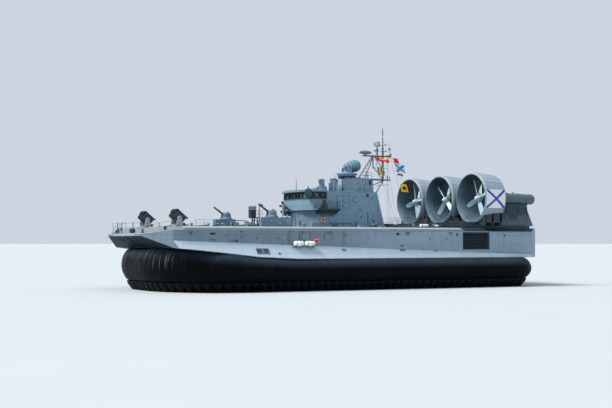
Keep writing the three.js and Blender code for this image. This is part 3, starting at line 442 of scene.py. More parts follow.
def tread_plate():
    """Bay floor and ramp plate: dark anti-slip paint, with tread scratches, rubbed tyre lanes and painted
    shade on faces that look down.
    """
    f = Finish("tread_plate")
    spot = f.spot()
    x, y, z = f.parts(spot)
    bars = abs((x + y).saw(0.36) - 0.5).ease(0.42, 0.48) * abs((x - y).saw(0.36) - 0.5).ease(0.1, 0.2)
    lanes = abs(abs(y) - 1.5).ease(0.9, 0.4)
    clouds = f.noise(spot, 0.9, 5.0)
    scratch = f.noise(f.whole(x * 0.5, y * 14.0, z), 1.0, 5.0).ease(0.56, 0.66)
    worn = f.mix(
        lanes * scratch * 0.6, f.shade(rgb(0.075, 0.09, 0.1), 0.7 + clouds * 0.6), rgb(0.26, 0.27, 0.28),
    )
    nz = f.parts(f.spot("Normal"))[2]
    # Painted shade: faces that look down near black.
    f.feed(
        "Base Color",
        f.mix((-1.0 * nz).ease(0.0, 0.2), worn, f.shade(rgb(0.014, 0.03, 0.037), 0.7 + clouds * 0.6)),
    )
    f.feed("Specular IOR Level", 0.08)
    f.feed("Roughness", 0.6 - lanes * 0.15 + clouds * 0.1)
    f.bump(bars + clouds * 0.4, 0.02)
    return f.material


def cloth(name, pick_color):
    """Woven flag cloth, its colors chosen over the flag by pick_color(finish, u, v)."""
    f = Finish(name, roughness=0.75)
    u, v, unused = f.parts(f.spot("UV"))
    threads = (u * 700.0).sine() * (v * 700.0).sine()
    clouds = f.noise(f.whole(u * 3.0, v * 3.0, 0.0), 2.0, 4.0)
    hem = 1 - u.ease(0.0, 0.035)
    f.feed("Base Color", f.mix(hem, f.shade(pick_color(f, u, v), 0.82 + clouds * 0.3), rgb(0.7, 0.7, 0.68)))
    f.bump(threads * 0.2 + clouds, 0.004)
    return f.material


def floor_paint():
    """The studio floor: pale and matt, with a faint mottle."""
    f = Finish("studio_floor", roughness=0.9)
    mottle = f.noise(f.spot(), 0.12, 3.0)
    f.feed("Base Color", f.shade(rgb(0.5, 0.54, 0.57), 0.96 + mottle * 0.08))
    return f.material


side_paint = ship_paint("side_paint", SIDE_BLUE, deck=DECK_DARK, under=SHADOW_DARK, hull=True)


def bridge_tone_and_shade(amount, f):
    """Dark round the windows, with painted light on the front below them and painted shade on the front
    under the ledges.
    """
    band = f.z.band(11.64, 12.6) * f.x.ease(2.35, 2.4) * abs(f.nz).ease(0.7, 0.5)
    front = f.nx.ease(0.3, 0.7) * f.z.band(10.33, 11.64)
    amount = amount * (1 - f.nx.ease(0.3, 0.7) * (f.z < 10.2) * 0.22)
    return amount * (1 + front * 0.02) * (1 - band * 0.78)


def platform_shade(amount, f):
    """Painted shade under the radar platform and round the band of its rim."""
    return amount * (1 - f.nz.ease(-0.2, -0.5) * 0.8) * (1 - f.z.band(14.55, 14.83) * 0.5)


def house_light_and_shade(amount, f):
    """Painted shade on faces toward the bow, more on the tower, and painted light on the tower's narrow
    nose.
    """
    nose = f.x.band(-2.06, -1.5) * abs(f.y).ease(0.5, 0.42) * f.z.band(12.7, 14.57)
    return amount * (1 - f.nx.ease(0.3, 0.8) * (0.22 + f.x.ease(-1.5, -1.9) * 0.26)) * (1 + nose * 2.2)


def casing_shade(amount, f):
    """Painted shade on faces toward the bow and under the ducts."""
    return amount * (1 - f.nx.ease(0.3, 0.8) * 0.5) * (1 - f.x.ease(-16.0, -17.0) * 0.45)


def wing_shade(amount, f):
    """Painted shade toward the top, under the platform."""
    return amount * (1 - f.z.ease(9.25, 10.0) * 0.85)


def pylon_shade(amount, f):
    """Painted shade toward the top, under the pod."""
    return amount * (1 - f.z.ease(9.0, 10.4) * 0.55)


def radome_light_and_shade(amount, f):
    """Painted highlights in bands round the tracking radar, and painted shade below."""
    bands = abs((f.x - f.z * 0.19).saw(0.5) - 0.5).ease(0.12, 0.36)
    return amount * (0.72 + bands * 0.6) * (1 - f.nz.ease(-0.1, -0.6) * 0.5)


house_paint = ship_paint(
    "house_paint", HOUSE_BLUE, deck=DECK_DARK, plate=(2.1, 1.2), wear=0.8, tone_and_shading=house_light_and_shade,
)
bridge_paint = ship_paint(
    "bridge_paint", HOUSE_BLUE, deck=DECK_DARK, plate=(2.1, 1.2), wear=0.7, tone_and_shading=bridge_tone_and_shade,
)
platform_paint = ship_paint(
    "platform_paint", HOUSE_BLUE, deck=DECK_DARK, plate=(1.2, 0.7), wear=0.7, tone_and_shading=platform_shade,
)
turret_paint = ship_paint("turret_paint", rgb(0.15, 0.24, 0.305), plate=(1.3, 0.6), wear=0.8)
casing_paint = ship_paint(
    "casing_paint", rgb(0.06, 0.105, 0.14), deck=rgb(0.07, 0.1, 0.12), plate=(1.6, 1.2), tone_and_shading=casing_shade,
)
wing_paint = ship_paint("wing_paint", rgb(0.13, 0.21, 0.275), plate=(1.2, 0.6), tone_and_shading=wing_shade)
yoke_paint = ship_paint("yoke_paint", rgb(0.4, 0.46, 0.5), plate=(1.2, 0.6), wear=1.2)
scanner_paint = ship_paint("scanner_paint", rgb(0.11, 0.21, 0.27), plate=(6.0, 6.0), wear=0.5)
deck_paint = ship_paint("deck_paint", SIDE_BLUE, deck=DECK_DARK, under=SHADOW_DARK, plate=(3.0, 2.0))
fitting_paint = ship_paint("fitting_paint", rgb(0.18, 0.25, 0.315), plate=(4.0, 3.0), wear=0.6)
pylon_paint = ship_paint("pylon_paint", rgb(0.09, 0.14, 0.175), plate=(1.9, 1.0), tone_and_shading=pylon_shade)
radome_paint = ship_paint(
    "radome_paint", rgb(0.17, 0.3, 0.385), plate=(6.0, 6.0), wear=0.5, tone_and_shading=radome_light_and_shade,
)
mast_paint = machine_paint("mast_paint", rgb(0.1, 0.13, 0.155), rgb(0.2, 0.24, 0.27), 0.3)
machinery = machine_paint("machinery_paint", MACHINE_DARK, rgb(0.16, 0.19, 0.21))
pack_paint = machine_paint("pack_paint", rgb(0.03, 0.045, 0.055), rgb(0.1, 0.125, 0.14))
black_steel = machine_paint("black_steel", rgb(0.018, 0.02, 0.022), rgb(0.07, 0.075, 0.08))
pale_metal = machine_paint("pale_metal", rgb(0.36, 0.4, 0.43), rgb(0.5, 0.52, 0.54), 0.3)
duct_finish = duct_paint()
pod_finish = pod_paint()
blade_finish = blade_paint()
bag_rubber = rubber("bag_rubber", rgb(0.011, 0.017, 0.024), 3.2, 0.045)
finger_rubber = rubber("finger_rubber", rgb(0.009, 0.012, 0.016), 1.15)
keel_rubber = plain_paint("keel_rubber", rgb(0.016, 0.019, 0.022), 0.6, 0.2)
# Nearly black, as painted shade on the bow apron, the bay frames and the ribs under the bow ramp.
pontoon_paint_and_shade = plain_paint("pontoon_paint_and_shade", rgb(0.018, 0.034, 0.042), 0.7, 0.2, 0.06)
bridge_glass = dark_glass()
canister_white = glass_fibre()
tread = tread_plate()
buoy_orange = plain_paint("buoy_orange", rgb(0.9, 0.13, 0.04), 0.45, 0.2)
lamp_white = plain_paint("lamp_white", rgb(0.75, 0.76, 0.74), 0.2, 0.1)
lamp_red = plain_paint("lamp_red", rgb(0.55, 0.02, 0.02), 0.2, 0.1)
lamp_green = plain_paint("lamp_green", rgb(0.02, 0.3, 0.12), 0.2, 0.1)
panel_white = plain_paint("panel_white", rgb(0.78, 0.78, 0.79), 0.4, 0.12)
panel_blue = plain_paint("panel_blue", rgb(0.012, 0.06, 0.42), 0.4, 0.12)
rope_tan = plain_paint("rope_tan", rgb(0.42, 0.38, 0.3), 0.8, 0.3)
# Black for seals, and painted shade as dark backs in vents, outlets and inlets.
black_and_shade = plain_paint("black_and_shade", rgb(0.012, 0.016, 0.019), 0.6, 0.1)

# Slot, the finishes listed for it, which fit looks up where it isn't told another slot. The rest get
# house_grey
SLOT_FINISHES = (
    ("black_rubber", (bag_rubber, finger_rubber)),
    ("dark_grey", (black_and_shade, machinery, black_steel, casing_paint, tread, pontoon_paint_and_shade, pack_paint,
                   yoke_paint)),
    ("window", (bridge_glass, lamp_white)),
    ("raft_white", (buoy_orange, panel_white, rope_tan, canister_white)),
    ("pale_grey", (scanner_paint,)),
    ("side_grey", (side_paint, pylon_paint)),
    ("duct_grey", (duct_finish,)),
    ("blade_grey", (pale_metal,)),
)
SLOTS = {finish.name: slot for slot, finishes in SLOT_FINISHES for finish in finishes}

# CAD node, its finish
NODE_FINISHES = [
    (("hull_port", "hull_starboard"), side_paint),
    (("deck_centre",), deck_paint),
    (("centre_pontoon",), pontoon_paint_and_shade),
    (("bay_floor", "bow_ramp"), tread),
    (("stern_ramp",), side_paint),
    (("stability_skirts",), keel_rubber),
    (("tower", "vents", "director_base", "director_head"), house_paint),
    (("gun_house_port", "gun_house_starboard"), turret_paint),
    (("house", "bridge_walls", "bridge_roof"), bridge_paint),
    (("radar_platform",), platform_paint),
    (("turret_port", "turret_starboard"), turret_paint),
    (("aft_casing", "fan_platform"), casing_paint),
    (("bridge_glazing",), bridge_glass),
    (("bridge_console", "sight_stand", "gun_port", "gun_starboard"), machinery),
    (("navigation_radar",), scanner_paint),
    (("launcher_ring_port", "launcher_ring_starboard"), yoke_paint),
    (("launcher_yoke_port", "launcher_yoke_starboard"), yoke_paint),
    (("launcher_pack_port", "launcher_pack_starboard"), pack_paint),
    (("tracking_radar",), radome_paint),
    (("mast",), mast_paint),
    (("duct_port", "duct_centre", "duct_starboard"), duct_finish),
    (("pylon_port", "pylon_centre", "pylon_starboard"), pylon_paint),
    (("engine_pod_port", "engine_pod_centre", "engine_pod_starboard"), pod_finish),
    (("propeller_port", "propeller_centre", "propeller_starboard"), blade_finish),
    (tuple(f"rudder_{w}_{h}" for w in ("port", "centre", "starboard") for h in ("left", "right")),
     duct_finish),
]
for names, material in NODE_FINISHES:
    for node_name in names:
        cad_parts[node_name].material_slots[0].material = material


# ---------------------------------------------------------------- ways of making a piece
def pick(*pieces):
    """Selects only these pieces, the last one active."""
    bpy.ops.object.select_all(action="DESELECT")
    for piece in pieces:
        piece.select_set(True)
    if pieces:
        bpy.context.view_layer.objects.active = pieces[-1]


def settle(piece):
    pick(piece)
    bpy.ops.object.transform_apply(location=True, rotation=True, scale=True)
    return piece


def apply_modifier(piece, kind, **settings):
    pick(piece)
    modifier = piece.modifiers.new(kind, kind)
    for key, value in settings.items():
        setattr(modifier, key, value)
    bpy.ops.object.modifier_apply(modifier=modifier.name)
    return piece


def soften(piece, width, segments=2):
    """Rounds the edges of a piece."""
    return apply_modifier(
        piece, "BEVEL", width=width * SCALE, segments=segments, limit_method="ANGLE",
        angle_limit=math.radians(30),
    )


def faces_where(piece, test):
    """In edit mode, selects the faces whose middle and normal pass the test."""
    mesh = bmesh.from_edit_mesh(piece.data)
    for face in mesh.faces:
        face.select_set(bool(test(face.calc_center_median() / SCALE, face.normal)))
    mesh.select_flush_mode()
    bmesh.update_edit_mesh(piece.data)


def block(low, high, bevel=0.03, segments=1):
    """A box between two corners, its edges softened."""
    low = Vector(low) * SCALE
    high = Vector(high) * SCALE
    pick()
    bpy.ops.mesh.primitive_cube_add(size=1, location=(low + high) / 2, scale=high - low)
    piece = settle(bpy.context.object)
    return soften(piece, bevel, segments) if bevel else piece


def panelled(low, high, side, inset, depth, bevel=0.02):
    """A box whose faces toward side are inset and pushed in or pulled out, as a lid or door is."""
    piece = block(low, high, 0)
    pick(piece)
    bpy.ops.object.mode_set(mode="EDIT")
    direction = Vector(side)
    faces_where(piece, lambda place, normal: normal.dot(direction) > 0.9)
    bpy.ops.mesh.inset(thickness=inset * SCALE, depth=depth * SCALE)
    bpy.ops.object.mode_set(mode="OBJECT")
    return soften(piece, bevel, 1)


def drum(foot, top, r0, r1=None, sides=16, bevel=0.02):
    """A round post or cone between two points."""
    foot = Vector(foot) * SCALE
    top = Vector(top) * SCALE
    along = top - foot
    pick()
    bpy.ops.mesh.primitive_cone_add(
        vertices=sides, radius1=r0 * SCALE, radius2=(r0 if r1 is None else r1) * SCALE, depth=along.length,
        location=(foot + top) / 2, rotation=along.to_track_quat("Z", "Y").to_euler(),
    )
    piece = settle(bpy.context.object)
    return soften(piece, bevel, 1) if bevel else piece


def turned(profile, at, axis=UP, sides=24):
    """A round piece extruded ring by ring from a disc. The profile is [radius, distance along the axis]."""
    direction = Vector(axis).normalized()
    centre = Vector(at) * SCALE
    pick()
    bpy.ops.mesh.primitive_circle_add(
        vertices=sides, radius=profile[0][0] * SCALE, fill_type="NGON",
        location=centre + direction * profile[0][1] * SCALE,
        rotation=direction.to_track_quat("Z", "Y").to_euler(),
    )
    piece = settle(bpy.context.object)
    bpy.ops.object.mode_set(mode="EDIT")
    bpy.ops.mesh.select_all(action="SELECT")
    for (r0, h0), (r1, h1) in zip(profile, profile[1:]):
        bpy.ops.mesh.extrude_region_move(TRANSFORM_OT_translate={"value": direction * (h1 - h0) * SCALE})
        size = max(r1, 0.002) / max(r0, 0.002)
        bpy.ops.transform.resize(value=(size,) * 3, center_override=centre + direction * h1 * SCALE)
    bpy.ops.mesh.select_all(action="SELECT")
    bpy.ops.mesh.normals_make_consistent(inside=False)
    bpy.ops.object.mode_set(mode="OBJECT")
    return piece


def hoop(at, axis, radius, thickness, sides=32, ring_sides=8):
    """A ring round an axis."""
    pick()
    bpy.ops.mesh.primitive_torus_add(
        location=Vector(at) * SCALE, rotation=Vector(axis).to_track_quat("Z", "Y").to_euler(),
        major_radius=radius * SCALE, minor_radius=thickness * SCALE, major_segments=sides,
        minor_segments=ring_sides,
    )
    return settle(bpy.context.object)


def pipes(runs, radius, resolution=1):
    """Round bars bent along runs of points."""
    curve = bpy.data.curves.new("pipes", "CURVE")
    curve.dimensions = "3D"
    curve.bevel_depth = radius * SCALE
    curve.bevel_resolution = resolution
    curve.use_fill_caps = True
    for run in runs:
        spline = curve.splines.new("POLY")
        spline.points.add(len(run) - 1)
        for point, place in zip(spline.points, run):
            point.co = (*(Vector(place) * SCALE), 1)
    piece = bpy.data.objects.new("pipes", curve)
    bpy.context.scene.collection.objects.link(piece)
    pick(piece)
    bpy.ops.object.convert(target="MESH")
    return bpy.context.object


def copies(piece, steps):
    """Copies of a piece, each moved by its own step, and not the piece itself."""
    made = []
    for step in steps:
        twin = piece.copy()
        twin.data = piece.data.copy()
        twin.data.transform(Matrix.Translation(Vector(step) * SCALE))
        bpy.context.scene.collection.objects.link(twin)
        made.append(twin)
    return made


def turn_to(piece, matrix):
    """Moves a piece made at the origin to its place, in full-size metres."""
    place = matrix.copy()
    place.translation = place.translation * SCALE
    piece.data.transform(place)
    return piece


def other_side(piece):
    """The same piece on the starboard side."""
    twin = piece.copy()
    twin.data = piece.data.copy()
    twin.data.transform(Matrix.Scale(-1, 4, PORT))
    twin.data.flip_normals()
    bpy.context.scene.collection.objects.link(twin)
    return twin


def mirrored(pieces):
    return [other_side(piece) for piece in pieces]


def both(pieces):
    return [*pieces, *mirrored(pieces)]


def weld(pieces):
    """Joins pieces into one."""
    pick(*pieces)
    if len(pieces) > 1:
        bpy.ops.object.join()
    return bpy.context.object


def fit(name, pieces, material, body="craft", slot=None, smooth=35):
    """Joins pieces, names them and hands the result to its body and paint."""
    slot = slot or SLOTS.get(material.name, "house_grey")
    piece = weld(pieces)
    piece.name = name
    piece.data.name = name
    piece.data.materials.clear()
    piece.data.materials.append(material)
    pick(piece)
    bpy.ops.object.shade_smooth_by_angle(angle=math.radians(smooth))
    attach(piece, body)
    return piece


def railing(points, height=1.0, spacing=1.6, rails=(0.5, 1.0)):
    """Runs for a railing: a post at each spacing and bars along, on a line of deck points."""
    runs = []
    line = [Vector(p) for p in points]
    for level in rails:
        runs.append([p + Vector((0, 0, height * level)) for p in line])
    for a, b in zip(line, line[1:]):
        count = max(1, round((b - a).length / spacing))
        for i in range(count + 1):
            foot = a.lerp(b, i / count)
            runs.append([foot, foot + Vector((0, 0, height))])
    return runs


def bolts(x, y, reach, low, high, radius, count, start=0):
    """Bolt heads on a circle round x, y."""
    made = []
    for k in range(count):
        t = math.radians(start + 360 / count * k)
        place = (x + reach * math.cos(t), y + reach * math.sin(t))
        made.append(drum((*place, low), (*place, high), radius, sides=6, bevel=0))
    return made


# ---------------------------------------------------------------- studio floor
pick()
bpy.ops.mesh.primitive_circle_add(vertices=96, radius=1900, fill_type="NGON", location=(0, 0, -0.002))
studio_floor = bpy.context.object
studio_floor.name = "studio_floor"
studio_floor.data.materials.append(floor_paint())


# ---------------------------------------------------------------- skirt
SKIRT_BEAM = 12.8
SKIRT_BOW_X = 27.7
SKIRT_STERN_X = -28.2
SPINE_INSET = 1.6
BOW_CORNER = (18, 2)
STERN_CORNER = (-22, 5)
UNDERSIDE = [(10.4, 3.94), (15.8, 4.2), (19.7, 4.65), (23.4, 5.04), (26.1, 5.3)]
FINGER_TOP = 1.12
BAG_TOP = 3.94


class SkirtLine:
    """The skirt's plan as a closed line, measured along it from the bow centre round to port."""

    def __init__(self, out):
        beam = SKIRT_BEAM - SPINE_INSET + out
        bow = SKIRT_BOW_X - SPINE_INSET + out
        stern = SKIRT_STERN_X + SPINE_INSET - out
        half = [(bow, 0.0)]
        for i in range(201):
            turn = math.pi / 2 * i / 200
            half.append((
                BOW_CORNER[0] + (bow - BOW_CORNER[0]) * math.cos(turn),
                BOW_CORNER[1] + (beam - BOW_CORNER[1]) * math.sin(turn),
            ))
        for i in range(201):
            turn = math.pi / 2 * (1 + i / 200)
            half.append((
                STERN_CORNER[0] + (STERN_CORNER[0] - stern) * math.cos(turn),
                STERN_CORNER[1] + (beam - STERN_CORNER[1]) * math.sin(turn),
            ))
        half.append((stern, 0.0))
        self.points = [Vector((*p, 0)) for p in half] + [
            Vector((x, -y, 0)) for x, y in reversed(half[1:-1])
        ]
        self.points.append(self.points[0])
        self.marks = [0.0]
        for a, b in zip(self.points, self.points[1:]):
            self.marks.append(self.marks[-1] + (b - a).length)
        self.length = self.marks[-1]
        self.at = 0

    def place(self, s):
        """The point at s and the direction outward there. Calls go round in order."""
        if s < self.marks[self.at]:
            self.at = 0
        while self.at < len(self.points) - 2 and self.marks[self.at + 1] < s:
            self.at += 1
        a, b = self.points[self.at], self.points[self.at + 1]
        run = self.marks[self.at + 1] - self.marks[self.at]
        ahead = (b - a).normalized()
        return a.lerp(b, (s - self.marks[self.at]) / run), Vector((ahead.y, -ahead.x, 0))


def underside_at(x):
    if x <= UNDERSIDE[0][0]:
        return BAG_TOP
    for (x0, z0), (x1, z1) in zip(UNDERSIDE, UNDERSIDE[1:]):
        if x < x1:
            return z0 + (z1 - z0) * (x - x0) / (x1 - x0)
    return UNDERSIDE[-1][1]


def ring_mesh(columns, rows, place):
    """A closed ring from a grid, whose column i and row j go to place(i, j) -> (point, (u, v))."""
    pick()
    bpy.ops.mesh.primitive_grid_add(x_subdivisions=columns, y_subdivisions=rows, size=2)
    piece = bpy.context.object
    mesh = piece.data
    cells = []
    for vertex in mesh.vertices:
        i = round((vertex.co.x + 1) / 2 * columns)
        j = round((vertex.co.y + 1) / 2 * rows)
        cells.append(place(i, j))
    for vertex, (point, unused) in zip(mesh.vertices, cells):
        vertex.co = point * SCALE
    layer = mesh.uv_layers.active.data
    for loop in mesh.loops:
        layer[loop.index].uv = cells[loop.vertex_index][1]
    bpy.ops.object.mode_set(mode="EDIT")
    bpy.ops.mesh.select_all(action="SELECT")
    bpy.ops.mesh.remove_doubles(threshold=0.0005)
    bpy.ops.mesh.normals_make_consistent(inside=False)
    bpy.ops.object.mode_set(mode="OBJECT")
    return piece


# Section of the bag as [outward from its spine, height], closed along its flat top
BAG_SECTION = [
    (0.42, 3.93), (0.78, 3.78), (1.08, 3.55), (1.32, 3.26), (1.47, 2.95), (1.555, 2.62), (1.56, 2.3),
    (1.48, 1.98), (1.32, 1.7), (1.1, 1.42), (0.9, 1.24), (0.62, 1.14), (0.0, 1.14), (-0.55, 1.15),
    (-0.95, 1.42), (-1.2, 1.8), (-1.35, 2.4), (-1.37, 3.1), (-1.37, 3.93),
]
FOLD_STEP = 0.06
PLAIN_STEP = 0.4
FOLDS_UNTIL = 17.0


def bag_columns(length):
    """Places of the columns round the skirt: close together where the bow's folds are."""
    half = []
    s = 0.0
    while s < length / 2:
        half.append(s)
        s += FOLD_STEP if s < FOLDS_UNTIL else PLAIN_STEP
    return half + [length / 2] + [length - s for s in reversed(half[1:])] + [length]


def bag_folds():
    """Gathered folds at the bow as [place, half width, depth, how far down they run]."""
    chance = random.Random(7)
    folds = []
    for side in (1, -1):
        s = 0.18
        while s < FOLDS_UNTIL - 0.5:
            fade = max(0.0, 1 - s / FOLDS_UNTIL) ** 0.8
            folds.append((side * s, 0.1 + chance.random() * 0.1, (0.035 + chance.random() * 0.06) * fade,
                          0.28 + chance.random() * 0.3 * fade))
            s += 0.26 + chance.random() * 0.22
    return folds


def smooth_step(t):
    t = min(1.0, max(0.0, t))
    return t * t * (3 - 2 * t)


def travelled(section, tall=1.0):
    """How far along a section each of its points lies."""
    travel = [0.0]
    for (a, b), (c, d) in zip(section, section[1:]):
        travel.append(travel[-1] + math.hypot(c - a, (d - b) * tall))
    return travel


def air_bag():
    line = SkirtLine(0.0)
    columns = bag_columns(line.length)
    section = BAG_SECTION
    travel = travelled(section)
    outer_rows = 12
    folds = bag_folds()
    ground = [line.place(min(s, line.length - 1e-6)) for s in columns]

    def fold_depth(s, share):
        near = s if s < line.length / 2 else s - line.length
        depth = 0.0
        for place, half, deep, reach in folds:
            gap = abs(near - place - share * 0.12 * math.sin(place * 5))
            if gap < half:
                depth += deep * (1 - gap / half) * smooth_step(1.15 - share / reach)
        return depth

    def sag(s, share):
        """Slow swells between the panels of the bag."""
        slow = 0.018 * math.sin(s * 2.1) * math.sin(math.pi * share)
        return slow + 0.012 * math.sin(s * 5.3 + 1.0) * share

    def place(i, j):
        row = j % len(section)
        out, height = section[row]
        base, outward = ground[i]
        share = travel[row] / travel[outer_rows]
        s = columns[i]
        if 0 < row <= outer_rows:
            out += fold_depth(s, share) * 0.9 - 0.05 + sag(s, min(share, 1.0))
        point = base + outward * out
        lift = (underside_at(point.x) - 0.02 - FINGER_TOP) / (BAG_TOP - FINGER_TOP)
        point.z = FINGER_TOP + 0.002 + (height - FINGER_TOP) * lift
        if abs(point.y) < 3.3 and point.x > 26.12:
            point.z = min(point.z, 5.235 - (point.x - 26.12) * 0.269)
        return point, (s, travel[row])

    piece = ring_mesh(len(columns) - 1, len(section), place)
    fit("skirt_bag_shell", [piece], bag_rubber, smooth=60)
    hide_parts("skirt_bag")


FINGERS = 124
BOW_X = 28.65
FINGER_STEPS = 8


def fingers():
    line = SkirtLine(0.0)
    columns = FINGERS * FINGER_STEPS
    down = [(0.72, 1.0), (0.73, 0.86), (0.72, 0.7), (0.7, 0.52), (0.66, 0.34), (0.62, 0.16), (0.6, 0.0),
            (0.2, 0.0), (-0.25, 0.0), (-0.3, 0.5), (-0.33, 1.0)]
    travel = travelled(down, FINGER_TOP)
    chance = random.Random(11)
    lean_of = [chance.uniform(-0.03, 0.03) for unused in range(FINGERS)]
    ground = [line.place(min(line.length * i / columns, line.length - 1e-6)) for i in range(columns + 1)]

    def place(i, j):
        row = j % len(down)
        out, height = down[row]
        base, outward = ground[i]
        phase = (i % FINGER_STEPS) / FINGER_STEPS
        scallop = math.sin(math.pi * phase) ** 0.75 if phase else 0.0
        low = 1 - height
        if out > 0:
            out += 0.27 * scallop * smooth_step(0.35 + low * 1.6)
            out += lean_of[(i // FINGER_STEPS) % FINGERS] * low - (0.04 + 0.18 * low) * (1 - scallop)
        point = base + outward * out
        inward = 1 - 0.65 * low / SKIRT_BEAM
        point.y *= inward
        point.x *= 1 - (1 - inward) * SKIRT_BEAM / BOW_X
        notch = 0.1 * (1 - scallop) * low if row <= 6 else 0.0
        point.z = height * (FINGER_TOP - 0.004) + 0.002 + notch
        return point, (line.length * i / columns, travel[row])

    piece = ring_mesh(columns, len(down), place)
    fit("skirt_finger_ring", [piece], finger_rubber, smooth=50)
    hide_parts("skirt_fingers")


air_bag()
fingers()


# ---------------------------------------------------------------- hull sides
def crease_z(x):
    """Height of the line where the upright side meets the sloping sponson."""
    return 5.68 + 0.0356 * (x - 11.1)


SIDE_Y = 10.5
SPONSON_SLOPE = 0.852
SPONSON_LEAN = math.atan2(SPONSON_SLOPE, 1.0)


def sponson_y(x, z):
    """Distance of the sponson's face from the middle."""
    return SIDE_Y + SPONSON_SLOPE * (crease_z(x) - z)


def axes_at(along, up, out, at):
    """A place with these three axes."""
    turn = Matrix((along, up, out)).transposed().to_4x4()
    turn.translation = Vector(at)
    return turn


def on_sponson(x, z):
    """A place on the port sponson, its x axis forward, its y axis up the slope and its z axis outward."""
    up = (0, -math.sin(SPONSON_LEAN), math.cos(SPONSON_LEAN))
    out = (0, math.cos(SPONSON_LEAN), math.sin(SPONSON_LEAN))
    return axes_at(FORE, up, out, (x, sponson_y(x, z), z))


def on_side(x, z, y=SIDE_Y):
    """A place on an upright port wall, with its z axis outward."""
    return axes_at(AFT, UP, PORT, (x, y, z))


def louvre(wide, high, slats):
    """A framed vent with slanting slats, lying on the origin and facing up: its frame and its dark back,
    painted shade inside the vent.
    """
    frame_bars = [
        block((-wide / 2 - 0.05, y, 0), (wide / 2 + 0.05, y + 0.06, 0.07), 0.01)
        for y in (-high / 2 - 0.05, high / 2 - 0.01)
    ] + [
        block((x, -high / 2, 0), (x + 0.06, high / 2, 0.07), 0.01)
        for x in (-wide / 2 - 0.05, wide / 2 - 0.01)
    ]
    back = block((-wide / 2, -high / 2, -0.02), (wide / 2, high / 2, 0.012), 0)
    leaf = block((-wide / 2, -0.012, -0.05), (wide / 2, 0.012, 0.05), 0.006)
    leaf.data.transform(Matrix.Rotation(math.radians(50), 4, "X"))
    leaf.data.transform(Matrix.Translation(Vector((0, -high / 2 + high / slats / 2, 0.03)) * SCALE))
    leaves = copies(leaf, [(0, high / slats * i, 0) for i in range(1, slats)])
    return [*frame_bars, leaf, *leaves], [back]


def placed(pieces, matrix):
    return [turn_to(piece, matrix) for piece in pieces]


def again(pieces):
    """Second copies of several pieces, in the same place."""
    return [copies(piece, [(0, 0, 0)])[0] for piece in pieces]


def louvres(rows, slats, place):
    """Louvres for rows that end in width and height: their frames and their dark backs, painted shade
    inside the vents.
    """
    frames, backs = [], []
    for *spot, wide, high in rows:
        bars, back = louvre(wide, high, slats)
        frames += placed(bars, place(*spot))
        backs += placed(back, place(*spot))
    return frames, backs


